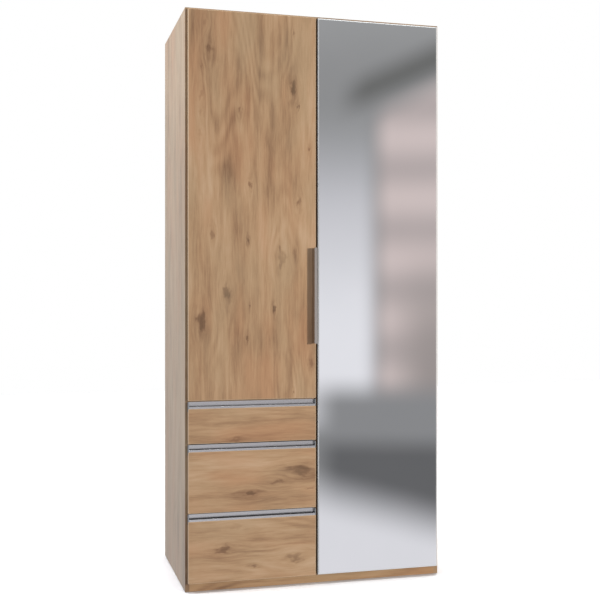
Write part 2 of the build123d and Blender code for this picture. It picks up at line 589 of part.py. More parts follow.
def hang_door(panel, heights):
    """A left-hung door panel with its cup pockets cut, its cups and their screws."""
    cups, screws = [], []
    for z in heights:
        panel -= cup_pocket(z, 0)
        cups.append(hinge_cup(z))
        for seat in cup_screw_seats(z):
            panel -= screw_hole(seat, (0, -1, 0))
            screws.append(screw(seat, (0, -1, 0)))
    return panel, cups, screws


def hinge_fixings(heights):
    """Arms, plates, pins and screw seats of the hinges at these heights."""
    arms = [hinge_arm(z) for z in heights]
    plates = [hinge_plate(z) for z in heights]
    pins = [hinge_pin(z) for z in heights]
    seats = [seat for z in heights for seat in hinge_plate_screws(z)]
    return arms, plates, pins, seats


# ---- doors

def edged_board(x, y, z, radius=EDGE_RADIUS):
    """A board whose face has edge bands with rounded corners."""
    board = block(x, y, z)
    return fillet(board.faces().sort_by(Axis.Y)[0].edges(), radius)


def left_door():
    """The left door panel with its handle and screws."""
    panel = edged_board((LEFT_EDGE, RIGHT_EDGE), (FACE_Y, FRONT_REAR_Y), (DOOR_BOTTOM, DOOR_TOP))
    middle = RIGHT_EDGE - HANDLE_INSET
    wide = (middle - HANDLE_WIDTH / 2, middle + HANDLE_WIDTH / 2)
    low = DOOR_BOTTOM + HANDLE_BOTTOM
    high = low + HANDLE_LENGTH
    tip = FACE_Y - HANDLE_REACH
    handle = block(wide, (tip, tip + HANDLE_BAR), (low, high))
    rear_edges = handle.edges().filter_by(Axis.Z).sort_by(Axis.Y)[2:].sort_by(Axis.X)
    handle = fillet(rear_edges[1], HANDLE_EDGE)
    front_edges = handle.edges().filter_by(Axis.Z).sort_by(Axis.Y)[:2].sort_by(Axis.X)
    handle = chamfer(front_edges[1], HANDLE_CHAMFER)
    behind = (tip + HANDLE_BAR, FACE_Y)
    handle += block((wide[0], wide[0] + HANDLE_WEB), behind, (low, high))
    screws = []
    for start in (low, high - HANDLE_FOOT):
        handle += block(wide, behind, (start, start + HANDLE_FOOT))
        z = start + HANDLE_FOOT / 2
        head_y = FRONT_REAR_Y - HANDLE_SCREW_HEAD - COUNTERBORE_PLAY
        seat = (middle, head_y, z)
        size = (HANDLE_SCREW_RADIUS, head_y - FACE_Y + HANDLE_SCREW_GRIP)
        hole = screw_hole(seat, (0, -1, 0), *size)
        bore = rod(HANDLE_SCREW_HEAD_RADIUS + COUNTERBORE_PLAY, seat, (middle, FRONT_REAR_Y, z))
        panel = cut(panel, (hole, bore))
        handle -= hole
        head = (HANDLE_SCREW_HEAD_RADIUS, HANDLE_SCREW_HEAD)
        screws.append(screw(seat, (0, -1, 0), *size, *head))
    return panel, handle, screws


def mirror_door():
    """The mirror door's board and glass, drawn on the left and mirrored later."""
    x = (LEFT_EDGE, RIGHT_EDGE)
    board = edged_board(x, (FACE_Y + MIRROR, FRONT_REAR_Y), (FRONT_BOTTOM, DOOR_TOP))
    glass = block((x[0] + MIRROR_INSET, x[1] - MIRROR_INSET), (FACE_Y, FACE_Y + MIRROR),
                  (FRONT_BOTTOM + MIRROR_INSET, DOOR_TOP - MIRROR_INSET))
    return board, chamfer(glass.faces().sort_by(Axis.Y)[0].edges(), MIRROR_BEVEL)


# ---- drawers

def grip_rail(top):
    """The aluminium rail on a drawer front: a lip, a finger channel behind it and a rear wall."""
    x = (LEFT_EDGE, RIGHT_EDGE)
    inner_wall = FACE_Y + RAIL_REBATE_START
    low = top - RAIL_REBATE_DEPTH
    high = top + RAIL_RISE
    outline = [
        (FACE_Y, top),
        (FACE_Y, top + LIP_HEIGHT),
        (FACE_Y + LIP_WALL, top + LIP_HEIGHT),
        (FACE_Y + LIP_WALL, top + RAIL_WALL),
        (inner_wall + RAIL_WALL, top + RAIL_WALL),
        (inner_wall + RAIL_WALL, low + RAIL_WALL),
        (FRONT_REAR_Y - RAIL_WALL, low + RAIL_WALL),
        (FRONT_REAR_Y - RAIL_WALL, high),
        (FRONT_REAR_Y, high),
        (FRONT_REAR_Y, low),
        (inner_wall, low),
        (inner_wall, top),
    ]
    rail = along_x(outline, (x[0] + RAIL_CAP, x[1] - RAIL_CAP))
    cap = [
        (FACE_Y, top),
        (FACE_Y, high),
        (FRONT_REAR_Y, high),
        (FRONT_REAR_Y, low),
        (inner_wall, low),
        (inner_wall, top),
    ]
    caps = [along_x(cap, span) for span in ((x[0], x[0] + RAIL_CAP), (x[1] - RAIL_CAP, x[1]))]
    return group([rail, *caps])


def roller(x, y, z):
    """A plastic roller with its bore."""
    wheel = rod(ROLLER_RADIUS, (x[0], y, z), (x[1], y, z))
    return wheel - rod(AXLE_RADIUS + RUNNING_FIT, (x[0] - PAST, y, z), (x[1] + PAST, y, z))


def axle(web_x, x, y, z):
    """A riveted axle from a runner's web, past a roller, to its head. x is the roller's span."""
    out = 1 if x[0] > web_x else -1
    far = max(x) if out > 0 else min(x)
    near = min(x) if out > 0 else max(x)
    head = far + out * SIDE_FIT
    shape = rod(AXLE_RADIUS, (web_x, y, z), (head, y, z))
    shape += rod(AXLE_HEAD_RADIUS, (head, y, z), (head + out * AXLE_HEAD, y, z))
    return shape + rod(AXLE_HEAD_RADIUS, (web_x, y, z), (near - out * SIDE_FIT, y, z))


def runner_screw_ys():
    """Y of the screws of a cabinet runner."""
    front = CARCASS_Y + RUNNER_START + RUNNER_SCREW_FRONT
    rear = BOX_REAR_Y - RUNNER_SCREW_REAR
    return (front, (front + rear) / 2, rear)


def left_runners(box_z):
    """Cabinet runner, its roller, drawer runner and its roller, on the left of a drawer."""
    wall = -INNER_X
    low = box_z - RUNNER_DROP
    channel = 2 * (ROLLER_RADIUS + ROLLER_GAP)
    high = low + channel + 2 * RUNNER_SHEET
    y = (CARCASS_Y + RUNNER_START, BOX_REAR_Y)
    flange = (wall, wall + RUNNER_FLANGE)
    web = wall + RUNNER_SHEET
    cabinet = block((wall, web), y, (low, high))
    cabinet += block(flange, y, (low, low + RUNNER_SHEET))
    cabinet += block(flange, (y[0] + OPEN_FRONT, y[1]), (high - RUNNER_SHEET, high))
    under_track = box_z + TRACK_Z
    axle_y = y[0] + FRONT_ROLLER_Y
    axle_z = under_track - ROLLER_GAP - ROLLER_RADIUS
    span = (wall + FRONT_ROLLER_INSET, wall + FRONT_ROLLER_INSET + ROLLER_WIDTH)
    cabinet += axle(web, span, axle_y, axle_z)
    front_roller = roller(span, axle_y, axle_z)

    side = wall + RUNNER_SPACE
    drawer_web = side - RUNNER_SHEET
    y = (CARCASS_Y + RUNNER_START, BOX_REAR_Y)
    drawer = block((drawer_web, side), y, (box_z - RUNNER_SHEET, under_track + RUNNER_SHEET))
    drawer += block((drawer_web, side + DRAWER_BOARD), y, (box_z - RUNNER_SHEET, box_z))
    drawer += block((wall + TRACK_SIDE_GAP, side), y, (under_track, under_track + RUNNER_SHEET))
    axle_y = BOX_REAR_Y - REAR_ROLLER_Y
    axle_z = low + RUNNER_SHEET + ROLLER_GAP + ROLLER_RADIUS
    span = (wall + ROLLER_INSET, wall + ROLLER_INSET + ROLLER_WIDTH)
    drawer += axle(drawer_web, span, axle_y, axle_z)
    rear_roller = roller(span, axle_y, axle_z)
    screws = [(web, at, low + RUNNER_SHEET + channel / 2) for at in runner_screw_ys()]
    return cabinet, front_roller, drawer, rear_roller, screws


def across_column(shape):
    """The mirror image of a shape on the other side of the left column."""
    middle = (-INNER_X - BOARD / 2) / 2
    return mirror(shape, about=Plane(origin=(middle, 0, 0), z_dir=(1, 0, 0)))


def drawer(name):
    """The boards, grip rail and runners of one drawer, and its fixed runners' screws."""
    bottom, top = DRAWER_EDGES[name]
    box_z = bottom + BOX_LIFT
    box_top = box_z + BOX_HEIGHTS[name]
    front = edged_board((LEFT_EDGE, RIGHT_EDGE), (FACE_Y, FRONT_REAR_Y), (bottom, top))
    rebate_y = (FACE_Y + RAIL_REBATE_START, FRONT_REAR_Y + PAST)
    front -= block((LEFT_EDGE - PAST, RIGHT_EDGE + PAST), rebate_y,
                   (top - RAIL_REBATE_DEPTH, top + PAST))
    outer = (-INNER_X + RUNNER_SPACE, -BOARD / 2 - RUNNER_SPACE)
    inner = (outer[0] + DRAWER_BOARD, outer[1] - DRAWER_BOARD)
    base_z = box_z + BASE_LIFT
    groove_z = (base_z - GROOVE_PLAY, base_z + DRAWER_BASE + GROOVE_PLAY)
    side = block((outer[0], inner[0]), (FRONT_REAR_Y, BOX_REAR_Y), (box_z, box_top))
    side -= block((inner[0] - GROOVE_DEPTH, inner[0]), (FRONT_REAR_Y, BOX_REAR_Y), groove_z)
    front -= block((inner[0] - GROOVE_DEPTH, inner[1] + GROOVE_DEPTH),
                   (FRONT_REAR_Y - GROOVE_DEPTH, FRONT_REAR_Y), groove_z)
    back = block(inner, (BOX_REAR_Y - DRAWER_BOARD, BOX_REAR_Y), (base_z + DRAWER_BASE, box_top))
    inside = GROOVE_DEPTH - GROOVE_END_PLAY
    base = block((inner[0] - inside, inner[1] + inside), (FRONT_REAR_Y - inside, BOX_REAR_Y),
                 (base_z, base_z + DRAWER_BASE))
    cabinet, front_roller, runner, rear_roller, screws = left_runners(box_z)
    nodes = {
        f"{name}_drawer_front": front,
        f"{name}_grip_rail": grip_rail(top),
        f"{name}_drawer_sides": group([side, across_column(side)]),
        f"{name}_drawer_back": back,
        f"{name}_drawer_bottom": base,
        f"{name}_drawer_runners": group([runner, across_column(runner)]),
        f"{name}_rear_rollers": group([rear_roller, across_column(rear_roller)]),
        f"{name}_front_rollers": group([front_roller, across_column(front_roller)]),
    }
    return nodes, cabinet, screws


# ---- the whole wardrobe

def fix_runners(boards, seats):
    """Drills both panels of the left column for the runner screws and returns the screws."""
    screws = []
    for seat in seats:
        hole = screw_hole(seat, (-1, 0, 0))
        fixed = screw(seat, (-1, 0, 0))
        boards["left_side_panel"] -= hole
        boards["partition"] -= across_column(hole)
        screws += [fixed, across_column(fixed)]
    return screws


def drill_runner(runner, seats):
    """The runner with its screw holes."""
    return cut(runner, [screw_hole(seat, (-1, 0, 0)) for seat in seats])


def build():
    """Every node of the wardrobe by name."""
    nodes = carcass_boards()
    nodes.update(join_carcass(nodes))
    nodes["floor_glides"] = glides(nodes)
    nodes["wall_brackets"], screws = wall_brackets(nodes)

    shelf, pins = hat_shelf(nodes)
    nodes["left_hat_shelf"] = shelf
    nodes["right_hat_shelf"] = mirrored([shelf])[0]
    nodes["shelf_pins"] = group(pins + mirrored(pins))
    tube, sockets = clothes_rail(nodes)
    nodes["left_clothes_rail"] = tube
    nodes["right_clothes_rail"] = mirrored([tube])[0]
    nodes["rail_sockets"] = group(sockets + mirrored(sockets))

    left_heights = hinge_heights(DOOR_BOTTOM, LEFT_HINGES)
    right_heights = hinge_heights(FRONT_BOTTOM, RIGHT_HINGES)
    arms, plates, hinge_pins, seats = hinge_fixings(left_heights)
    right_arms, right_plates, right_pins, right_seats = hinge_fixings(right_heights)
    nodes["hinge_arms"] = group(arms + mirrored(right_arms))
    nodes["hinge_plates"] = group(plates + mirrored(right_plates))
    nodes["hinge_pins"] = group(hinge_pins + mirrored(right_pins))
    screws += [screw(seat, (-1, 0, 0)) for seat in seats]
    screws += mirrored([screw(seat, (-1, 0, 0)) for seat in right_seats])
    holes = [screw_hole(seat, (-1, 0, 0)) for seat in seats]
    nodes["left_side_panel"] = cut(nodes["left_side_panel"], holes)
    right_holes = mirrored([screw_hole(seat, (-1, 0, 0)) for seat in right_seats])
    nodes["right_side_panel"] = cut(nodes["right_side_panel"], right_holes)

    panel, nodes["bar_handle"], handle_screws = left_door()
    nodes["left_door_panel"], cups, cup_screws = hang_door(panel, left_heights)
    nodes["handle_screws"] = group(handle_screws)
    nodes["left_hinge_cups"] = group(cups)
    nodes["left_cup_screws"] = group(cup_screws)
    board, glass = mirror_door()
    board, cups, cup_screws = hang_door(board, right_heights)
    nodes["mirror_door_panel"], nodes["mirror_glass"] = mirrored([board, glass])
    nodes["right_hinge_cups"] = group(mirrored(cups))
    nodes["right_cup_screws"] = group(mirrored(cup_screws))

    runners = []
    for name in DRAWER_FRONTS:
        made, cabinet, seats = drawer(name)
        nodes.update(made)
        cabinet = drill_runner(cabinet, seats)
        runners += [cabinet, across_column(cabinet)]
        screws += fix_runners(nodes, seats)
    nodes["cabinet_runners"] = group(runners)
    nodes["carcass_screws"] = group(screws)
    return nodes


os.makedirs("parts", exist_ok=True)
for name, shape in build().items():
    export_step(shape, f"parts/{name}.step")
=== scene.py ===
# %% [markdown]
# # A wardrobe with a mirror door
# A flat-pack wardrobe is a box of faced chipboard with doors hung in front of it. Its structure
# comes ready from the CAD frame, in metres, with every board, hinge and runner in place. What is
# left to make here is the finish: oak decor whose grain bends round its knots, a silvered
# mirror, satin aluminium grips, and the fittings that show once a door or a drawer is open.

# %% Load the frame
import json
import math

import bmesh
import bpy
from mathutils import Euler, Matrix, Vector


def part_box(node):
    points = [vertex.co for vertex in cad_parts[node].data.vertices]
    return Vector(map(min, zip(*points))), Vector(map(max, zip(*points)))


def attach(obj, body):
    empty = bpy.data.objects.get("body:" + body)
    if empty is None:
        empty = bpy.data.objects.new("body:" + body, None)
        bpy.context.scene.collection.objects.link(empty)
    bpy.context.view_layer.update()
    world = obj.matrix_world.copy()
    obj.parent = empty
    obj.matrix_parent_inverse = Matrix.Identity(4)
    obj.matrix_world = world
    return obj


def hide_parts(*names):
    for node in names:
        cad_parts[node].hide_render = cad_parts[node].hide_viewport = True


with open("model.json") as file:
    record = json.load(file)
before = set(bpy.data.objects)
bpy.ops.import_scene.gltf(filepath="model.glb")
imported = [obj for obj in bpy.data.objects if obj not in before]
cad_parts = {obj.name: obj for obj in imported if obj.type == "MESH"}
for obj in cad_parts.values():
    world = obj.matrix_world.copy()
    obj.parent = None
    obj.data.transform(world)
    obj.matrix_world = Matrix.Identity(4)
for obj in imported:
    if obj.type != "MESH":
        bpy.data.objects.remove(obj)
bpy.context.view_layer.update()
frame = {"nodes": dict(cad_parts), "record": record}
nodes = frame["nodes"]
body_of = {node: body for body, members in frame["record"]["behaviour"]["bodies"].items()
           for node in members}
slot_of = {row["node"]: row["material_slot"] for row in frame["record"]["subparts"]}
scene = bpy.context.scene
MM = 0.001

# %% [markdown]
# ## Two helpers
# Colours are easiest to judge as the hex codes of a paint chart, but shaders work in linear
# light, so one function turns the first into the second. The other adds a node, and sets or
# links its inputs in the same call, which keeps each material readable from top to bottom.

# %% Colours and nodes

def linear(code):
    """A hex sRGB colour as linear RGBA."""
    channels = [int(code[i:i + 2], 16) / 255 for i in (1, 3, 5)]
    return tuple(c / 12.92 if c <= 0.04045 else ((c + 0.055) / 1.055) ** 2.4 for c in channels) + (1,)


def add(tree, kind, inputs=(), stops=(), **settings):
    """A new node, with its properties, its ramp stops, and its inputs set or linked."""
    node = tree.nodes.new(kind)
    for name, value in settings.items():
        setattr(node, name, value)
    for i, (place, colour) in enumerate(stops):
        ramp = node.color_ramp.elements
        stop = ramp[i] if i < 2 else ramp.new(place)
        stop.position = place
        stop.color = colour
    for key, value in dict(inputs).items():
        if isinstance(value, bpy.types.NodeSocket):
            tree.links.new(value, node.inputs[key])
        else:
            node.inputs[key].default_value = value
    return node


def new_finish(name):
    """An empty material with its node tree, its shader and its object coordinates."""
    finish = bpy.data.materials.new(name)
    finish.use_nodes = True
    tree = finish.node_tree
    shader = tree.nodes["Principled BSDF"]
    place = add(tree, "ShaderNodeTexCoord").outputs["Object"]
    return finish, tree, shader, place


# %% [markdown]
# ## Camera
# The wardrobe is seen from its left front at half its height, so the camera stands level and
# the uprights stay upright. A lens of about 60 mm from nearly 4 m away keeps the perspective
# calm, as a catalogue does.

# %% Set up the camera
LENS = 60.6
CAMERA_HEIGHT = 1.08
CAMERA_SIDE = 0.563          # left of the wardrobe's left side
CAMERA_BACK = 3.706          # in front of the carcass front edges
CAMERA_TURN = 15.13          # degrees to the right of straight ahead

carcass_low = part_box("left_side_panel")[0]
camera_data = bpy.data.cameras.new("camera")
camera_data.lens = LENS
camera = bpy.data.objects.new("camera", camera_data)
camera.location = (carcass_low.x - CAMERA_SIDE, carcass_low.y - CAMERA_BACK, CAMERA_HEIGHT)
camera.rotation_euler = (math.radians(90), 0, math.radians(-CAMERA_TURN))
scene.collection.objects.link(camera)
scene.camera = camera
print("camera at", [round(v, 3) for v in camera.location])

# %% [markdown]
# ## Studio
# One lamp stands to the right of the camera, small enough to give the handle a clear shadow. A
# broad one on the left lights the side panel, more at its top than at its foot, and one overhead
# whitens the floor. The rest is an even glow from the surroundings, weak enough to leave the
# gaps between the fronts dark. Plain sRGB tones are used, because the filmic default would grey
# the white surroundings.

# %% Lamps and floor
FLOOR_SIZE = 16.0
KEY_TURN = 30.0              # degrees to the right of the wardrobe's front
KEY_REACH = 5.5              # from the middle of the fronts
KEY_HEIGHT = 1.5


def lamp(name, at, aim, size, power, colour):
    """A square area lamp that points from one place to another."""
    data = bpy.data.lights.new(name, "AREA")
    data.size = size
    data.energy = power
    data.color = linear(colour)[:3]
    made = bpy.data.objects.new(name, data)
    made.location = at
    made.rotation_euler = (Vector(aim) - Vector(at)).to_track_quat("-Z", "Y").to_euler()
    scene.collection.objects.link(made)
    return made


turn = math.radians(KEY_TURN)
key_at = (KEY_REACH * math.sin(turn), carcass_low.y - KEY_REACH * math.cos(turn), KEY_HEIGHT)
lamp("key lamp", key_at, (0, carcass_low.y, 1.1), 0.45, 205, "#fff9f2").visible_glossy = False
lamp("side lamp", (-2.4, 0.1, 2.9), (-0.5, 0, 2.0), 0.9, 47, "#f6f7ff").visible_glossy = False
down_light = bpy.data.lights.new("down light", "SUN")
down_light.energy = 2.6
down_light.angle = math.radians(8)
scene.collection.objects.link(bpy.data.objects.new("down light", down_light))
scene.view_settings.view_transform = "Standard"

floor_mesh = bpy.data.meshes.new("studio floor")
half = FLOOR_SIZE / 2
floor_mesh.from_pydata([(-half, -half, 0), (half, -half, 0), (half, half, 0), (-half, half, 0)], [],
                       [(0, 1, 2, 3)])
floor = bpy.data.objects.new("studio_floor", floor_mesh)
scene.collection.objects.link(floor)
floor_paint, tree, shader, place = new_finish("pale floor paint")
# painted screed, nearly white and dull, so that only the contact shadow shows on it
speckle = add(tree, "ShaderNodeTexNoise", {"Vector": place, "Scale": 3.0, "Detail": 4.0}).outputs["Fac"]
tone = add(tree, "ShaderNodeValToRGB", {"Fac": speckle},
           [(0.3, linear("#f4f4f4")), (0.7, linear("#fafafa"))]).outputs["Color"]
tree.links.new(tone, shader.inputs["Base Color"])
shader.inputs["Roughness"].default_value = 0.9
shader.inputs["Specular IOR Level"].default_value = 0.1
floor_mesh.materials.append(floor_paint)
floor.visible_glossy = False
floor.visible_diffuse = False

# %% [markdown]
# ## The room that the mirror shows
# A mirror has no look of its own: it shows what stands across the room. A hidden card could hold
# that, but it would be missing from every other angle, so the surroundings themselves carry a
# soft, out-of-focus room for reflected rays only: a ceiling with a dark beam, a pale wall beside
# a window with a slatted blind, a dark couch, and a light floor. Each is a soft-edged patch on
# the compass and the horizon, in degrees, and the whole repeats every hundred degrees.

# %% Paint the room into the surroundings
ROOM_REPEAT = 100.0
ROOM_EDGE = 50.0             # where the repeats meet
SLOPE_PIVOT = 20.0           # the compass point at which a sloped edge has its listed height
GLOW = 0.43                  # even light on everything that isn't a mirror
ROOM_LIGHT = 1.1             # brightness of the room in the mirror
ROOM = [
    # colour, from and to around the room, from and to above the horizon, blur of each edge, slope
    ("bright ceiling", "#9c9c9d", (-90.0, 90.0), (14.6, 90.0), (3.0, 3.0, 2.4, 3.0), 0.0),
    ("pale wall", "#c0bfc4", (-20.0, 19.3), (-7.0, 8.0), (3.0, 0.9, 0.9, 3.4), 0.0),
    ("sunny wall", "#e4e3e8", (14.8, 19.2), (-7.0, 2.8), (1.6, 0.9, 0.9, 5.0), 0.0),
    ("beam", "#686867", (18.0, 34.0), (11.5, 12.85), (1.1, 3.0, 0.95, 0.9), 0.40),
    ("window", "#c7b9b7", (19.6, 34.0), (-9.0, 10.65), (0.8, 3.0, 1.2, 1.0), 0.42),
    ("window sill", "#9d9492", (21.0, 34.0), (-9.0, 0.6), (1.6, 3.0, 1.2, 4.4), 0.0),
    ("couch back", "#8a8a8c", (16.0, 40.0), (-9.0, -5.05), (1.5, 3.0, 1.0, 1.0), 0.0),
    ("couch seat", "#646466", (16.4, 40.0), (-13.5, -8.05), (1.1, 3.0, 1.0, 0.8), 0.0),
    ("light floor", "#dad9de", (-90.0, 90.0), (-60.0, -11.7), (3.0, 3.0, 3.0, 1.7), -0.25),
]
SLAT_PITCH = 3.4             # degrees from slat to slat of the blind
SLAT_CENTRE = 3.97

world = bpy.data.worlds.new("studio and room")
scene.world = world
world.use_nodes = True
tree = world.node_tree
tree.nodes.clear()
way = add(tree, "ShaderNodeSeparateXYZ", {0: add(tree, "ShaderNodeTexCoord").outputs["Generated"]})
ahead = add(tree, "ShaderNodeMath", {0: way.outputs["Y"], 1: -1.0}, operation="MULTIPLY")
compass = add(tree, "ShaderNodeMath", {0: way.outputs["X"], 1: ahead.outputs[0]}, operation="ARCTAN2")
compass = add(tree, "ShaderNodeMath", {0: compass.outputs[0]}, operation="DEGREES")
around = add(tree, "ShaderNodeMath", {0: compass.outputs[0], 1: ROOM_EDGE, 2: ROOM_EDGE - ROOM_REPEAT},
             operation="WRAP").outputs[0]
rise = add(tree, "ShaderNodeMath", {0: way.outputs["Z"]}, operation="ARCSINE")
above = add(tree, "ShaderNodeMath", {0: rise.outputs[0]}, operation="DEGREES").outputs[0]
colour = linear("#8f8f90")
for name, code, (left, right), (low, high), blur, slope in ROOM:
    tilt = add(tree, "ShaderNodeMath", {0: around, 1: slope, 2: -SLOPE_PIVOT * slope},
               operation="MULTIPLY_ADD").outputs[0]
    level = add(tree, "ShaderNodeMath", {0: above, 1: tilt}, operation="SUBTRACT").outputs[0]
    patch = None
    for value, edge, soft, turned in ((around, left, blur[0], 1), (around, right, blur[1], -1),
                                      (level, low, blur[2], 1), (level, high, blur[3], -1)):
        fade = add(tree, "ShaderNodeMapRange",
                   {"Value": value, "From Min": edge - turned * soft, "From Max": edge + turned * soft},
                   interpolation_type="SMOOTHSTEP").outputs["Result"]
        if patch is not None:
            fade = add(tree, "ShaderNodeMath", {0: patch, 1: fade}, operation="MULTIPLY").outputs[0]
        patch = fade
    paint = linear(code)
    if name == "window":
        phase = add(tree, "ShaderNodeMath", {0: above, 1: SLAT_CENTRE}, operation="SUBTRACT").outputs[0]
        phase = add(tree, "ShaderNodeMath", {0: phase, 1: math.tau / SLAT_PITCH},
                    operation="MULTIPLY").outputs[0]
        wave = add(tree, "ShaderNodeMath", {0: phase}, operation="COSINE").outputs[0]
        wave = add(tree, "ShaderNodeMath", {0: wave, 1: 0.5, 2: 0.5},
                   operation="MULTIPLY_ADD").outputs[0]
        paint = add(tree, "ShaderNodeValToRGB", {"Fac": wave},
                    [(0.0, linear("#cfc0be")), (1.0, linear("#b7abaa"))]).outputs["Color"]
    colour = add(tree, "ShaderNodeMix", {0: patch, 6: colour, 7: paint}, data_type="RGBA").outputs[2]
behind = add(tree, "ShaderNodeMapRange", {"Value": way.outputs["Y"], "From Min": 0.1, "From Max": 0.4},
             interpolation_type="SMOOTHSTEP").outputs["Result"]
colour = add(tree, "ShaderNodeMix", {0: behind, 6: colour, 7: linear("#f4f4f6")},
             data_type="RGBA").outputs[2]
seen = add(tree, "ShaderNodeLightPath")
glow = add(tree, "ShaderNodeBackground", {"Color": linear("#f4f6ff"), "Strength": GLOW})
room = add(tree, "ShaderNodeBackground", {"Color": colour, "Strength": ROOM_LIGHT})
white = add(tree, "ShaderNodeBackground", {"Color": (1, 1, 1, 1), "Strength": 1.0})
mixed = add(tree, "ShaderNodeMixShader", {0: seen.outputs["Is Glossy Ray"], 1: glow.outputs[0],
                                          2: room.outputs[0]})
mixed = add(tree, "ShaderNodeMixShader", {0: seen.outputs["Is Camera Ray"], 1: mixed.outputs[0],
                                          2: white.outputs[0]})
add(tree, "ShaderNodeOutputWorld", {"Surface": mixed.outputs[0]})
print("room:", [row[0] for row in ROOM])

# %% [markdown]
# ## Oak decor
# The boards are chipboard with a printed paper of knotty oak under clear resin, so the surface
# stays flat and the whole look is in the print. Grain could come from a stretched noise alone,
# but then nothing would flow. Here two node groups do what the tree did. The first bends the
# grain round a knot and darkens its core; the second lays streaks of several widths, and growth
# lines, along the bent grain. The boards' own axes decide which way the grain runs: upright on
# the door and the panels, level on drawers and plinth.

# %% A knot, as a node group
KNOT_HEART = 0.26            # how much darker the heart of a strong knot is
KNOT_SHADE = 0.15            # and the wood around it
HEART_EDGE = (0.08, 0.27)    # where the heart fades out, as shares of the knot's reach
SHADE_EDGE = (0.1, 0.62)     # and where the shade does
KNOT_PUSH = 0.7              # how much of its distance to the knot the grain is moved away
KNOT_RAGGED = 0.9            # how far the outline strays from an oval
KNOT_TEETH = 2.6             # how often it does
KNOT_SMEAR = (1.5, 1, 0.62)  # the shade is narrower across the grain and longer along it
KNOT_SEED = 57               # spreads the knots over the noise, so that no two are alike


def knot_group():
    """Bends a point on the grain round one knot, and adds how dark the knot makes it there."""
    tree = bpy.data.node_groups.new("knot in the grain", "ShaderNodeTree")
    for name in ("Point", "Knot", "Reach"):
        tree.interface.new_socket(name, in_out="INPUT", socket_type="NodeSocketVector")
    for name in ("Dark", "Strength"):
        tree.interface.new_socket(name, in_out="INPUT", socket_type="NodeSocketFloat")
    tree.interface.new_socket("Bent", in_out="OUTPUT", socket_type="NodeSocketVector")
    tree.interface.new_socket("Dark", in_out="OUTPUT", socket_type="NodeSocketFloat")
    given = add(tree, "NodeGroupInput").outputs
    away = add(tree, "ShaderNodeVectorMath", {0: given["Point"], 1: given["Knot"]},
               operation="SUBTRACT").outputs[0]
    share = add(tree, "ShaderNodeVectorMath", {0: away, 1: given["Reach"]},
                operation="DIVIDE").outputs[0]
    own = add(tree, "ShaderNodeVectorMath", {0: given["Knot"], 1: (KNOT_SEED,) * 3, 2: share},
              operation="MULTIPLY_ADD").outputs[0]
    ragged = add(tree, "ShaderNodeTexNoise",
                 {"Vector": own, "Scale": KNOT_TEETH, "Detail": 3.0}).outputs["Color"]
    ragged = add(tree, "ShaderNodeVectorMath", {0: ragged, 1: (0.5, 0.5, 0.5)},
                 operation="SUBTRACT").outputs[0]
    ragged = add(tree, "ShaderNodeVectorMath", {0: ragged, 1: (KNOT_RAGGED, 0, KNOT_RAGGED), 2: share},
                 operation="MULTIPLY_ADD").outputs[0]
    distance = add(tree, "ShaderNodeVectorMath", {0: share}, operation="LENGTH").outputs["Value"]
    torn = add(tree, "ShaderNodeVectorMath", {0: ragged}, operation="LENGTH").outputs["Value"]
    smear = add(tree, "ShaderNodeVectorMath", {0: ragged, 1: KNOT_SMEAR},
                operation="MULTIPLY").outputs[0]
    smear = add(tree, "ShaderNodeVectorMath", {0: smear}, operation="LENGTH").outputs["Value"]
    push = add(tree, "ShaderNodeMapRange", {"Value": distance, "From Min": 0.0, "From Max": 1.0,
                                            "To Min": KNOT_PUSH, "To Max": 0.0},
               interpolation_type="SMOOTHSTEP").outputs["Result"]
    across = add(tree, "ShaderNodeVectorMath", {0: away, 1: (1, 0, 0)}, operation="MULTIPLY").outputs[0]
    shift = add(tree, "ShaderNodeVectorMath", {0: across, "Scale": push}, operation="SCALE").outputs[0]
    bent = add(tree, "ShaderNodeVectorMath", {0: given["Point"], 1: shift},
               operation="SUBTRACT").outputs[0]
    core = add(tree, "ShaderNodeMapRange", {
        "Value": torn, "From Min": HEART_EDGE[0], "From Max": HEART_EDGE[1],
        "To Min": KNOT_HEART, "To Max": 0.0}, interpolation_type="SMOOTHSTEP").outputs["Result"]
    shade = add(tree, "ShaderNodeMapRange", {
        "Value": smear, "From Min": SHADE_EDGE[0], "From Max": SHADE_EDGE[1],
        "To Min": KNOT_SHADE, "To Max": 0.0}, interpolation_type="SMOOTHSTEP").outputs["Result"]
    dark = add(tree, "ShaderNodeMath", {0: core, 1: shade}, operation="ADD").outputs[0]
    dark = add(tree, "ShaderNodeMath", {0: dark, 1: given["Strength"], 2: given["Dark"]},
               operation="MULTIPLY_ADD").outputs[0]
    add(tree, "NodeGroupOutput", {"Bent": bent, "Dark": dark})
    return tree


KNOT = knot_group()
print("group:", KNOT.name)

# %% [markdown]
# Oak shows bands at every scale. Each row of the list below is one: how wide it is across the
# grain and how long along it, in millimetres, and how much it lightens or darkens the wood. From
# across a room the finest line that shows is about 4 mm wide, so the fine lines of about a
# millimetre are a layer of their own that only a close view brings out.

# %% The figure of the wood, as a node group
BANDS = [
    # width across, length along, detail, weight
    (210.0, 700.0, 2.0, 0.66),
    (58.0, 360.0, 4.0, 0.66),
    (19.0, 260.0, 3.0, 0.40),
    (7.0, 105.0, 2.0, 0.33),
    (1.2, 30.0, 1.0, 0.216),
]
WANDERS = [(110.0, 380.0, 0.018), (26.0, 70.0, 0.0028)]   # width, length and reach of each sway
RING_FIELD = (150.0, 700.0)      # size of the slow hills whose contour lines are the growth lines
RINGS = 15.0
RING_WEIGHT = 0.06
RING_PATCH = (260.0, 520.0)      # the lines show only where the saw cut the tree at a slant
SLANT_EDGE = (0.46, 0.62)        # how sharply they fade in there
HUE_PATCH = (9.0, 3.0, 2.6)      # patches of warmer and greener wood to the metre


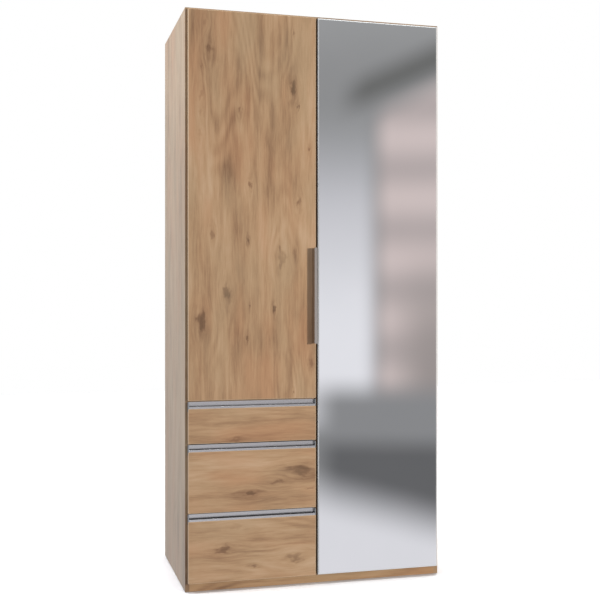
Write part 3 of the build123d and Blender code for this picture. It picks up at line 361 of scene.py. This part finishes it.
def figure_group():
    """The lightness of oak at a point: X across the grain, Z along it, in metres."""
    tree = bpy.data.node_groups.new("oak figure", "ShaderNodeTree")
    tree.interface.new_socket("Point", in_out="INPUT", socket_type="NodeSocketVector")
    for name in ("Tone", "Fine", "Hue"):
        tree.interface.new_socket(name, in_out="OUTPUT", socket_type="NodeSocketFloat")
    point = add(tree, "NodeGroupInput").outputs["Point"]
    for width, length, reach in WANDERS:
        size = (1 / (width * MM), 4.0, 1 / (length * MM))
        sway = add(tree, "ShaderNodeVectorMath", {0: point, 1: size}, operation="MULTIPLY").outputs[0]
        sway = add(tree, "ShaderNodeTexNoise",
                   {"Vector": sway, "Scale": 1.0, "Detail": 1.0}).outputs["Color"]
        sway = add(tree, "ShaderNodeVectorMath", {0: sway, 1: (0.5, 0.5, 0.5)},
                   operation="SUBTRACT").outputs[0]
        point = add(tree, "ShaderNodeVectorMath", {0: sway, 1: (reach, 0, 2 * reach), 2: point},
                    operation="MULTIPLY_ADD").outputs[0]
    tone = 0.5
    for width, length, detail, weight in BANDS:
        size = (1 / (width * MM), 4.0, 1 / (length * MM))
        stretched = add(tree, "ShaderNodeVectorMath", {0: point, 1: size},
                        operation="MULTIPLY").outputs[0]
        band = add(tree, "ShaderNodeTexNoise", {"Vector": stretched, "Scale": 1.0, "Detail": detail,
                                                "Roughness": 0.6}).outputs["Fac"]
        level = add(tree, "ShaderNodeMath", {0: band, 1: 0.5}, operation="SUBTRACT").outputs[0]
        tone = add(tree, "ShaderNodeMath", {0: level, 1: weight, 2: tone},
                   operation="MULTIPLY_ADD").outputs[0]
    size = (1 / (RING_FIELD[0] * MM), 1.0, 1 / (RING_FIELD[1] * MM))
    hills = add(tree, "ShaderNodeVectorMath", {0: point, 1: size}, operation="MULTIPLY").outputs[0]
    hills = add(tree, "ShaderNodeTexNoise",
                {"Vector": hills, "Scale": 1.0, "Detail": 0.8}).outputs["Fac"]
    turns = add(tree, "ShaderNodeMath", {0: hills, 1: math.tau * RINGS}, operation="MULTIPLY").outputs[0]
    lines = add(tree, "ShaderNodeMath", {0: turns}, operation="SINE").outputs[0]
    size = (1 / (RING_PATCH[0] * MM), 1.0, 1 / (RING_PATCH[1] * MM))
    slant = add(tree, "ShaderNodeVectorMath", {0: point, 1: size}, operation="MULTIPLY").outputs[0]
    slant = add(tree, "ShaderNodeTexNoise",
                {"Vector": slant, "Scale": 1.0, "Detail": 1.0}).outputs["Fac"]
    slant = add(tree, "ShaderNodeMapRange", {"Value": slant, "From Min": SLANT_EDGE[0],
                                              "From Max": SLANT_EDGE[1]},
                interpolation_type="SMOOTHSTEP").outputs["Result"]
    lines = add(tree, "ShaderNodeMath", {0: lines, 1: slant}, operation="MULTIPLY").outputs[0]
    tone = add(tree, "ShaderNodeMath", {0: lines, 1: RING_WEIGHT, 2: tone},
               operation="MULTIPLY_ADD").outputs[0]
    patches = add(tree, "ShaderNodeVectorMath", {0: point, 1: HUE_PATCH},
                  operation="MULTIPLY").outputs[0]
    hue = add(tree, "ShaderNodeTexNoise",
              {"Vector": patches, "Scale": 1.0, "Detail": 2.0}).outputs["Fac"]
    add(tree, "NodeGroupOutput", {"Tone": tone, "Fine": level, "Hue": hue})
    return tree


FIGURE = figure_group()
print("group:", FIGURE.name, "with", len(BANDS), "bands")

# %% [markdown]
# The narrow sides of a faced board are closed with a strip of edge band, glued on and trimmed
# flush. A fine light line along the rim of the face is painted highlight, where the rounded edge
# would catch the light. A third group finds the rim from the board's own size.

# %% The rim of a board, as a node group

def rim_group():
    """One within the given width of a board's rim, and zero on the rest of its face."""
    tree = bpy.data.node_groups.new("rim of a board", "ShaderNodeTree")
    for name in ("Point", "Low", "High"):
        tree.interface.new_socket(name, in_out="INPUT", socket_type="NodeSocketVector")
    tree.interface.new_socket("Width", in_out="INPUT", socket_type="NodeSocketFloat")
    tree.interface.new_socket("Rim", in_out="OUTPUT", socket_type="NodeSocketFloat")
    given = add(tree, "NodeGroupInput").outputs
    above = add(tree, "ShaderNodeVectorMath", {0: given["Point"], 1: given["Low"]},
                operation="SUBTRACT").outputs[0]
    below = add(tree, "ShaderNodeVectorMath", {0: given["High"], 1: given["Point"]},
                operation="SUBTRACT").outputs[0]
    nearest = add(tree, "ShaderNodeVectorMath", {0: above, 1: below}, operation="MINIMUM").outputs[0]
    nearest = add(tree, "ShaderNodeSeparateXYZ", {0: nearest}).outputs
    nearest = add(tree, "ShaderNodeMath", {0: nearest["X"], 1: nearest["Z"]},
                  operation="MINIMUM").outputs[0]
    rim = add(tree, "ShaderNodeMath", {0: nearest, 1: given["Width"]}, operation="LESS_THAN").outputs[0]
    add(tree, "NodeGroupOutput", {"Rim": rim})
    return tree


def rim_of(tree, place, node, width):
    """The rim of this board, so many millimetres wide."""
    low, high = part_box(node)
    return add(tree, "ShaderNodeGroup", {"Point": place, "Low": low, "High": high, "Width": width * MM},
               node_tree=RIM).outputs["Rim"]


RIM = rim_group()
print("group:", RIM.name)

# %% [markdown]
# Each board gets its own cut of the print. The knots are the ones that stand out, listed in
# millimetres from the board's lower left corner, with the size of the dark core. A weak knot
# is only a shade, a strong one has a dark heart. Every knot takes the point that the knot before
# it has bent. Read side by side, two dozen of them overrun the renderer and the board turns black.

# %% Oak decor, board by board
OAK_STOPS = [(0.0, "#654b35"), (0.24, "#8b6b4f"), (0.42, "#aa8866"), (0.54, "#b89672"),
             (0.72, "#c4a482"), (1.0, "#cfb393")]
GRAIN_UP = {"front": (0, 0, 0), "side": (0, 0, 90)}
GRAIN_LEVEL = {"front": (0, 90, 0), "flat": (90, 90, 0)}
CUT_STEP = (0.37, 1.3, 2.1)      # metres from one cut of the print to the next
KNOT_REACH = (4.5, 9.0)          # how far a knot bends the grain, across and along, in core sizes
# the grey tint is painted sheen: it greys the side panels as the white surroundings glancing off them
# would, and the shelves share it
PLAIN_OAK, SHEEN_GREY_TINT, PLINTH_OAK = "#ffffff", "#eaf1f4", "#f4efe6"     # tints laid over the print
WARM_OAK, GREEN_OAK = "#c08f69", "#b09978"       # what the two hues drift towards
ROUGH_SPREAD = 0.05              # how much duller and shinier the resin gets over the grain
PORES = (1 / (2.2 * MM), 4.0, 1 / (40 * MM))     # pressed pores: how fine across and along the grain


def oak_decor(name, turn, node, cut, knots=(), tint=PLAIN_OAK, rough=0.42, band=None, band_width=1.4):
    """Knotty oak print under matt resin. Turn brings the grain upright; cut picks a piece of print."""
    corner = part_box(node)[0]
    finish, tree, shader, place = new_finish(name)
    angles = [math.radians(a) for a in turn]
    turned = add(tree, "ShaderNodeMapping", {"Vector": place, "Rotation": angles}).outputs[0]
    upright = Euler(angles).to_matrix()
    point, dark = turned, 0.0
    for x, z, size, strength in knots:
        knot = add(tree, "ShaderNodeGroup", {
            "Point": point, "Knot": upright @ (corner + Vector((x, 0, z)) * MM), "Dark": dark,
            "Reach": (size * KNOT_REACH[0] * MM, 0.0, size * KNOT_REACH[1] * MM), "Strength": strength},
            node_tree=KNOT).outputs
        point, dark = knot["Bent"], knot["Dark"]
    moved = add(tree, "ShaderNodeVectorMath", {0: point, 1: Vector(CUT_STEP) * cut},
                operation="ADD").outputs[0]
    figure = add(tree, "ShaderNodeGroup", {"Point": moved}, node_tree=FIGURE).outputs
    tone = add(tree, "ShaderNodeMath", {0: figure["Tone"], 1: dark}, operation="SUBTRACT").outputs[0]
    wood = add(tree, "ShaderNodeValToRGB", {"Fac": tone},
               [(at, linear(code)) for at, code in OAK_STOPS]).outputs["Color"]
    warm = add(tree, "ShaderNodeMapRange", {"Value": figure["Hue"], "From Min": 0.5, "From Max": 0.68,
                                            "To Max": 0.42}).outputs["Result"]
    wood = add(tree, "ShaderNodeMix", {0: warm, 6: wood, 7: linear(WARM_OAK)},
               data_type="RGBA").outputs[2]
    green = add(tree, "ShaderNodeMapRange", {"Value": figure["Hue"], "From Min": 0.48, "From Max": 0.32,
                                             "To Max": 0.36}).outputs["Result"]
    wood = add(tree, "ShaderNodeMix", {0: green, 6: wood, 7: linear(GREEN_OAK)},
               data_type="RGBA").outputs[2]
    if tint != PLAIN_OAK:
        wood = add(tree, "ShaderNodeMix", {0: 1.0, 6: wood, 7: linear(tint)}, data_type="RGBA",
                   blend_type="MULTIPLY").outputs[2]
    # the rim colour: on the fronts a light edge band whose line on the face is painted highlight; on the
    # mirror door a near-black band that is painted shade
    if band:
        rim = rim_of(tree, place, node, band_width)
        wood = add(tree, "ShaderNodeMix", {0: rim, 6: wood, 7: linear(band)},
                   data_type="RGBA").outputs[2]
    tree.links.new(wood, shader.inputs["Base Color"])
    worn = add(tree, "ShaderNodeMapRange", {"Value": figure["Fine"], "From Min": -0.3, "From Max": 0.3,
                                            "To Min": rough + ROUGH_SPREAD,
                                            "To Max": rough - ROUGH_SPREAD}).outputs["Result"]
    tree.links.new(worn, shader.inputs["Roughness"])
    pores = add(tree, "ShaderNodeVectorMath", {0: turned, 1: PORES}, operation="MULTIPLY").outputs[0]
    pores = add(tree, "ShaderNodeTexNoise",
                {"Vector": pores, "Scale": 1.0, "Detail": 2.0}).outputs["Fac"]
    pores = add(tree, "ShaderNodeBump", {"Height": pores, "Strength": 0.12,
                                         "Distance": 0.0004}).outputs["Normal"]
    tree.links.new(pores, shader.inputs["Normal"])
    return finish


DOOR_KNOTS = [(400, 1170, 13, 1.0), (415, 1100, 5, 0.8), (400, 1375, 4, 0.7), (45, 1125, 9, 0.5),
              (85, 1295, 14, 0.55), (195, 1080, 7, 0.6), (460, 940, 4, 0.8), (230, 800, 7, 0.9),
              (420, 740, 10, 0.7), (225, 590, 6, 0.9), (350, 535, 15, 0.85), (400, 545, 9, 0.45),
              (145, 405, 12, 0.9), (230, 350, 4, 0.9), (325, 340, 6, 0.9), (48, 290, 15, 0.75),
              (220, 230, 5, 0.7), (90, 610, 9, 0.7), (400, 25, 4, 0.7), (465, 135, 9, 0.5),
              (60, 1395, 7, 0.25), (52, 1230, 6, 0.3), (47, 1060, 8, 0.3), (42, 985, 8, 0.4)]
DRAWER_KNOTS = {
    "upper": [(180, 12, 10, 0.8)],
    "middle": [(220, 65, 12, 0.85), (330, 105, 11, 0.5), (425, 140, 17, 0.6), (465, 75, 5, 0.7)],
    "lower": [(130, 120, 14, 0.85), (405, 70, 16, 0.8), (245, 50, 5, 0.8), (170, 200, 11, 0.4)],
}
# edge band on the fronts' narrow sides, which also lays a light line round their faces as painted
# highlight
EDGE_BAND_AND_HIGHLIGHT = "#d2b796"
finishes = {"left_door_panel": oak_decor("oak decor of the left door", GRAIN_UP["front"],
                                         "left_door_panel", 3, DOOR_KNOTS, band=EDGE_BAND_AND_HIGHLIGHT),
            # the narrow sides of the mirror door's board are painted near black, as the shade in the gap
            # beside it
            "mirror_door_panel": oak_decor("oak decor behind the mirror", GRAIN_UP["front"],
                                           "mirror_door_panel", 9, (), band="#1d1c1c", band_width=0.9)}
for cut, (name, knots) in enumerate(DRAWER_KNOTS.items(), start=5):
    node = f"{name}_drawer_front"
    finishes[node] = oak_decor(f"oak decor of the {name} drawer", GRAIN_LEVEL["front"],
                               node, cut, knots, band=EDGE_BAND_AND_HIGHLIGHT)
# the side panels and the partition take the grey tint that is painted sheen
for cut, node in enumerate(("left_side_panel", "right_side_panel", "partition"), start=11):
    finishes[node] = oak_decor(f"oak decor of the {node.replace('_', ' ')}", GRAIN_UP["side"],
                               node, cut, (), SHEEN_GREY_TINT)
level_oak = oak_decor("oak decor with level grain", GRAIN_LEVEL["front"],
                      "front_plinth", 21, (), PLINTH_OAK)
flat_oak = oak_decor("oak decor of the shelves", GRAIN_LEVEL["flat"], "top_panel", 23, (), SHEEN_GREY_TINT)
for node in ("front_plinth", "rear_plinth"):
    finishes[node] = level_oak
for node in ("top_panel", "bottom_panel", "drawer_housing_shelf", "left_hat_shelf", "right_hat_shelf"):
    finishes[node] = flat_oak
finishes["plinth_brace"] = finishes["partition"]
print("oak decor on", len(finishes), "boards")

# %% [markdown]
# Round the mirror its door's board shows as a narrow light rim, while its sides are painted near
# black as the shade in the gap beside the door. The rim is painted over the oak on the front face alone.

# %% The light rim round the mirror
RIM_WIDTH = 5.0              # millimetres from the board's edge, so it ends under the mirror
RIM_DEPTH = 0.3 * MM

finish = finishes["mirror_door_panel"]
tree = finish.node_tree
shader = tree.nodes["Principled BSDF"]
wood = shader.inputs["Base Color"].links[0].from_socket
place = next(node for node in tree.nodes if node.type == "TEX_COORD").outputs["Object"]
front_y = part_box("mirror_door_panel")[0].y + RIM_DEPTH
front = add(tree, "ShaderNodeSeparateXYZ", {0: place}).outputs["Y"]
front = add(tree, "ShaderNodeMath", {0: front, 1: front_y}, operation="LESS_THAN").outputs[0]
rim = rim_of(tree, place, "mirror_door_panel", RIM_WIDTH)
front = add(tree, "ShaderNodeMath", {0: rim, 1: front}, operation="MULTIPLY").outputs[0]
wood = add(tree, "ShaderNodeMix", {0: front, 6: wood, 7: linear("#e6e8ea")}, data_type="RGBA").outputs[2]
tree.links.new(wood, shader.inputs["Base Color"])
print("light rim on:", finish.name)

# %% [markdown]
# ## Metals, plastics and the mirror
# Metals get their colour from the reflection alone, so each is a metallic shader whose scratches
# differ: extruded aluminium is drawn lengthwise and anodised to a soft satin, nickel-plated
# steel is smoother, zinc has a faint crystal mottle. Plastics keep a fine moulded grain.

# %% Metals

def metal(name, dark, light, rough, stretch, spread=0.08, depth=0.06):
    """A metal whose fine scratches are noise stretched by these sizes in millimetres."""
    finish, tree, shader, place = new_finish(name)
    size = [1 / (s * MM) for s in stretch]
    lines = add(tree, "ShaderNodeVectorMath", {0: place, 1: size}, operation="MULTIPLY").outputs[0]
    noise = add(tree, "ShaderNodeTexNoise",
                {"Vector": lines, "Scale": 1.0, "Detail": 3.0}).outputs["Fac"]
    colour = add(tree, "ShaderNodeValToRGB", {"Fac": noise},
                 [(0.3, linear(dark)), (0.7, linear(light))]).outputs["Color"]
    tree.links.new(colour, shader.inputs["Base Color"])
    worn = add(tree, "ShaderNodeMapRange", {"Value": noise, "From Min": 0.3, "From Max": 0.7,
                                            "To Min": rough - spread, "To Max": rough + spread})
    tree.links.new(worn.outputs["Result"], shader.inputs["Roughness"])
    bump = add(tree, "ShaderNodeBump", {"Height": noise, "Strength": depth, "Distance": 0.0002})
    tree.links.new(bump.outputs["Normal"], shader.inputs["Normal"])
    shader.inputs["Metallic"].default_value = 1.0
    return finish


# the grip rails: extruded, drawn lengthwise and anodised, so light lies along them in one soft streak
aluminium = metal("anodised aluminium, drawn lengthwise", "#cccbcb", "#dad9da", 0.25, (90, 0.5, 0.5))
# the same extrusion down in the finger channel, painted dark as the shade there, where the surroundings
# hardly reach
channel_painted_shade = metal("aluminium in the channel painted dark as shade", "#28282a", "#343436", 0.4, (90, 0.5, 0.5))
# the bar handle: brushed upright and plated, a warmer grey than the rails
nickel = metal("satin nickel, brushed lengthwise", "#c2bab1", "#d2cbc3", 0.26, (0.4, 0.4, 60))
# hinge cups, arms and pins: pressed and plated, with no direction in the shine
hinge_nickel = metal("nickel-plated steel", "#bdbab5", "#d2d0cb", 0.22, (4, 4, 4))
# screws, cams and brackets: dull, with the faint crystal mottle of zinc
zinc = metal("zinc-plated steel", "#a9abad", "#c6c8ca", 0.36, (1.5, 1.5, 1.5), 0.1)
# the clothes rails: polished tube, nearly a mirror
chrome = metal("bright chrome tube", "#d4d5d6", "#e2e3e4", 0.08, (50, 2, 2), 0.03, 0.02)
print("metals:", aluminium.name, nickel.name, hinge_nickel.name, zinc.name, chrome.name)

# %% [markdown]
# Plastics, enamel and the boards inside are duller: two near colours and a little relief, each
# at the grain size that its making leaves.

# %% Plastics, enamel, boards inside

def plain(name, dark, light, rough, grain, depth, specular=0.5):
    """A dull or moulded surface: two near colours and a bump, with a grain size in millimetres."""
    finish, tree, shader, place = new_finish(name)
    size = [1 / (g * MM) for g in grain]
    lines = add(tree, "ShaderNodeVectorMath", {0: place, 1: size}, operation="MULTIPLY").outputs[0]
    noise = add(tree, "ShaderNodeTexNoise",
                {"Vector": lines, "Scale": 1.0, "Detail": 4.0}).outputs["Fac"]
    colour = add(tree, "ShaderNodeValToRGB", {"Fac": noise},
                 [(0.3, linear(dark)), (0.7, linear(light))]).outputs["Color"]
    tree.links.new(colour, shader.inputs["Base Color"])
    shader.inputs["Roughness"].default_value = rough
    shader.inputs["Specular IOR Level"].default_value = specular
    bump = add(tree, "ShaderNodeBump", {"Height": noise, "Strength": depth, "Distance": 0.0003})
    tree.links.new(bump.outputs["Normal"], shader.inputs["Normal"])
    return finish


# runners: rolled steel under white powder, with a fine orange peel
enamel = plain("white powder coat on steel", "#dcdbd6", "#e6e5e1", 0.38, (1.2, 1.2, 1.2), 0.25)
# rollers: moulded, smooth and a little warm
nylon = plain("moulded white nylon", "#e0dfd9", "#eceae5", 0.42, (2, 2, 2), 0.1)
# rail caps and small mouldings: an eroded mould leaves an even matt grey
grey_abs = plain("moulded grey ABS", "#8b8d8f", "#97999b", 0.45, (1, 1, 1), 0.2)
# floor glides: dark moulded plastic, nailed on
glide_brown = plain("moulded brown polypropylene", "#34291f", "#41342a", 0.5, (1, 1, 1), 0.2)
# dowels: raw turned wood, streaked lengthwise
beech = plain("raw beech dowel", "#c9a97f", "#d9bd96", 0.7, (30, 1, 1), 0.3)
# backs: thin hardboard printed in a pale, even wood tone
hardboard = plain("printed hardboard back", "#b49a80", "#bfa68c", 0.6, (14, 20, 300), 0.15)
# drawer boxes: a woven print, longer upright than across
linen = plain("linen print of the drawer boxes", "#c9c4bb", "#d5d1c9", 0.5, (1.5, 1.5, 12), 0.2)
print("plastics and boards:", enamel.name, nylon.name, grey_abs.name, hardboard.name)

# %% [markdown]
# The mirror is float glass with silver on its back. The silver is what is seen, so a nearly
# smooth metal the colour of silver seen through glass looks like a modelled pane, without the
# noise of light passing through it twice.

# %% Mirror and its ground edge
# seen face on: almost colourless, with a haze so faint that only its softness is noticed
silver, tree, shader, place = new_finish("silvered float glass")
shader.inputs["Metallic"].default_value = 1.0
haze = add(tree, "ShaderNodeTexNoise", {"Vector": place, "Scale": 2.5, "Detail": 3.0}).outputs["Fac"]
tone = add(tree, "ShaderNodeValToRGB", {"Fac": haze},
           [(0.3, linear("#eef0f1")), (0.7, linear("#f2f3f4"))])
tree.links.new(tone.outputs["Color"], shader.inputs["Base Color"])
smear = add(tree, "ShaderNodeMapRange", {"Value": haze, "From Min": 0.3, "From Max": 0.7,
                                         "To Min": 0.012, "To Max": 0.03})
tree.links.new(smear.outputs["Result"], shader.inputs["Roughness"])
# ground on a wheel, so it scatters light and shows as a pale line round the pane
ground, tree, shader, place = new_finish("ground glass edge")
frost = add(tree, "ShaderNodeTexNoise", {"Vector": place, "Scale": 900.0, "Detail": 2.0}).outputs["Fac"]
tone = add(tree, "ShaderNodeValToRGB", {"Fac": frost},
           [(0.3, linear("#dfe6e4")), (0.7, linear("#eef3f1"))])
tree.links.new(tone.outputs["Color"], shader.inputs["Base Color"])
shader.inputs["Roughness"].default_value = 0.35
print("mirror:", silver.name, "with", ground.name)

# %% [markdown]
# ## Dressing the CAD parts
# Most parts already have their true shape, down to the cross recesses of the screws, so they
# only need their finish. The boards with a print of their own take it by name, and every other
# part takes the finish of its material slot.

# %% Finishes
by_slot = {
    "back_hardboard": hardboard, "drawer_box_decor": linen, "mirror_door_board": flat_oak,
    "mirror_glass": silver, "grip_rail_aluminium": aluminium, "handle_steel": nickel,
    "clothes_rail_chrome": chrome, "hinge_steel": hinge_nickel, "zinc_fittings": zinc,
    "runner_enamel": enamel, "roller_plastic": nylon, "grey_plastic": grey_abs,
    "glide_plastic": glide_brown, "beech_dowel": beech,
}
for name, part in nodes.items():
    part.data.materials.clear()
    part.data.materials.append(finishes.get(name) or by_slot[slot_of[name]])
print("finished:", len(nodes), "CAD parts")

# %% [markdown]
# ## The mirror pane
# The pane needs two finishes, silver on its face and frosted glass on its ground edge, which
# one CAD part can't hold. So its mesh is copied and merged, and each face takes the finish that
# its direction calls for.

# %% Mirror pane
SAME_POINT = 1e-6            # corners nearer than this are one corner


def merged_copy(node, name):
    """A copy of a CAD part's mesh, with its loose triangles joined into one skin."""
    mesh = nodes[node].data.copy()
    mesh.name = name
    work = bmesh.new()
    work.from_mesh(mesh)
    bmesh.ops.remove_doubles(work, verts=work.verts, dist=SAME_POINT)
    work.to_mesh(mesh)
    work.free()
    copy = bpy.data.objects.new(name, mesh)
    scene.collection.objects.link(copy)
    return copy


pane = merged_copy("mirror_glass", "mirror_pane")
pane.data.materials.clear()
pane.data.materials.append(silver)
pane.data.materials.append(ground)
for face in pane.data.polygons:
    face.material_index = 0 if abs(face.normal.y) > 0.99 else 1
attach(pane, body_of["mirror_glass"])
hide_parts("mirror_glass")
print("mirror pane:", len(pane.data.polygons), "faces")

# %% [markdown]
# ## Grip rails
# An extrusion is one outline pushed through a die, so it is drawn the same way here: the
# outline goes in as a loop of points, and a node tree rounds its corners and sweeps it to
# length. The outline follows the CAD rail: a lip in front, a channel for the fingertips behind
# it, and a tall rear wall. The faces down in the channel get a duller finish, painted near black
# as shade, because little light gets in there. Moulded end caps close the rail.

# %% The sweep
LIP_HEIGHT, LIP_WALL, RAIL_WALL = 8 * MM, 1.8 * MM, 1.5 * MM
REBATE_DEPTH, REBATE_START, CAP = 12 * MM, 5 * MM, 3 * MM


def new_tree(name, sizes):
    """A geometry node tree with named inputs; sizes maps each name to its socket type."""
    tree = bpy.data.node_groups.new(name, "GeometryNodeTree")
    for socket, kind in sizes.items():
        tree.interface.new_socket(socket, in_out="INPUT", socket_type="NodeSocket" + kind)
    tree.interface.new_socket("Geometry", in_out="OUTPUT", socket_type="NodeSocketGeometry")
    return tree, add(tree, "NodeGroupInput").outputs


def grow(name, mesh, tree, values):
    """Run a node tree on a mesh with the given input values, and keep the plain result."""
    holder = bpy.data.objects.new(name, mesh)
    scene.collection.objects.link(holder)
    modifier = holder.modifiers.new("grow", "NODES")
    modifier.node_group = tree
    for item in tree.interface.items_tree:
        if item.in_out == "INPUT" and item.name in values:
            modifier[item.identifier] = values[item.name]
    bpy.context.view_layer.update()
    evaluated = holder.evaluated_get(bpy.context.evaluated_depsgraph_get())
    grown = bpy.data.meshes.new_from_object(evaluated)
    grown.name = name
    holder.modifiers.clear()
    holder.data = grown
    return holder


def turned_flat(tree, shape, way):
    """Turns a shape from the YZ plane to the XY plane (-1) or back (1)."""
    spin = (0, -way * math.radians(90), 0)
    return add(tree, "GeometryNodeTransform", {"Geometry": shape, "Rotation": spin}).outputs[0]


def sweep_tree():
    """Rounds the corners of an outline in the YZ plane and sweeps it along X."""
    tree, given = new_tree("swept extrusion", {
        "Geometry": "Geometry", "Start": "Float", "End": "Float", "Corner": "Float",
        "Finish": "Material"})
    outline = add(tree, "GeometryNodeMeshToCurve", {"Mesh": given["Geometry"]}).outputs[0]
    outline = add(tree, "GeometryNodeFilletCurve", {
        "Curve": outline, "Radius": given["Corner"], "Count": 3, "Limit Radius": True},
        mode="POLY").outputs[0]
    flat = turned_flat(tree, outline, -1)
    face = add(tree, "GeometryNodeFillCurve", {"Curve": flat}, mode="NGONS").outputs[0]
    face = turned_flat(tree, face, 1)
    length = add(tree, "ShaderNodeMath", {0: given["End"], 1: given["Start"]},
                 operation="SUBTRACT").outputs[0]
    push = add(tree, "ShaderNodeCombineXYZ", {"X": length}).outputs[0]
    shove = add(tree, "ShaderNodeCombineXYZ", {"X": given["Start"]}).outputs[0]
    body = add(tree, "GeometryNodeExtrudeMesh", {
        "Mesh": face, "Offset": push, "Offset Scale": 1.0, "Individual": False}).outputs["Mesh"]
    lid = add(tree, "GeometryNodeFlipFaces", {"Mesh": face}).outputs[0]
    joined = add(tree, "GeometryNodeJoinGeometry", {"Geometry": body})
    tree.links.new(lid, joined.inputs["Geometry"])
    whole = add(tree, "GeometryNodeMergeByDistance", {
        "Geometry": joined.outputs[0], "Distance": SAME_POINT}).outputs[0]
    whole = add(tree, "GeometryNodeTransform", {"Geometry": whole, "Translation": shove}).outputs[0]
    whole = add(tree, "GeometryNodeRealizeInstances", {"Geometry": whole}).outputs[0]
    whole = add(tree, "GeometryNodeSetMaterial", {
        "Geometry": whole, "Material": given["Finish"]}).outputs[0]
    add(tree, "NodeGroupOutput", {"Geometry": whole})
    return tree


SWEEP = sweep_tree()
print("tree:", SWEEP.name)

# %% [markdown]
# Each outline is measured from its CAD part's own box, so it follows any change of the wardrobe.
# The end caps are swept in the same way from a plainer outline that closes the channel too.

# %% Rails and caps
RAIL_CORNER, CAP_CORNER = 0.35 * MM, 0.8 * MM
SHADE_DROP = 1 * MM          # how far below the lip's top the shade starts on the rear wall


def loop_mesh(name, points):
    """A closed loop of edges in the YZ plane."""
    mesh = bpy.data.meshes.new(name)
    count = len(points)
    mesh.from_pydata([(0, y, z) for y, z in points], [(i, (i + 1) % count) for i in range(count)], [])
    return mesh


def outward(mesh):
    """Makes every face of a closed mesh look outwards."""
    work = bmesh.new()
    work.from_mesh(mesh)
    bmesh.ops.recalc_face_normals(work, faces=work.faces)
    work.to_mesh(mesh)
    work.free()


for name in ("lower", "middle", "upper"):
    node = f"{name}_grip_rail"
    low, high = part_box(node)
    face_y, rear_y, top = low.y, high.y, low.z + REBATE_DEPTH
    inner = face_y + REBATE_START
    lip = top + LIP_HEIGHT
    lip_y, step_y, wall_y = face_y + LIP_WALL, inner + RAIL_WALL, rear_y - RAIL_WALL
    ledge, bottom = top + RAIL_WALL, low.z + RAIL_WALL
    outline = [(face_y, top), (face_y, lip), (lip_y, lip), (lip_y, ledge), (step_y, ledge),
               (step_y, bottom), (wall_y, bottom), (wall_y, lip - SHADE_DROP), (wall_y, high.z),
               (rear_y, high.z), (rear_y, low.z), (inner, low.z), (inner, top)]
    rail = grow(f"{name}_rail", loop_mesh(node, outline), SWEEP,
                {"Start": low.x + CAP, "End": high.x - CAP, "Corner": RAIL_CORNER, "Finish": aluminium})
    outward(rail.data)
    rail.data.materials.append(channel_painted_shade)
    # the faces down in the channel take the near-black colour that is painted shade
    for face in rail.data.polygons:
        inside = (face_y + 0.6 * LIP_WALL < face.center.y < rear_y - 0.6 * RAIL_WALL
                  and low.z + SHADE_DROP / 2 < face.center.z < lip - SHADE_DROP / 2)
        if inside and abs(face.normal.x) < 0.5:
            face.material_index = 1
    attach(rail, body_of[node])
    outline = [(face_y, top), (face_y, high.z), (rear_y, high.z), (rear_y, low.z),
               (inner, low.z), (inner, top)]
    caps = []
    for side, start in (("left", low.x), ("right", high.x - CAP)):
        cap = grow(f"{name}_rail_{side}_cap", loop_mesh(node, outline), SWEEP,
                   {"Start": start, "End": start + CAP, "Corner": CAP_CORNER, "Finish": grey_abs})
        outward(cap.data)
        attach(cap, body_of[node])
        caps.append(cap)
    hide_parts(node)
    print(rail.name, len(rail.data.polygons), "faces, caps", len(caps[0].data.polygons))
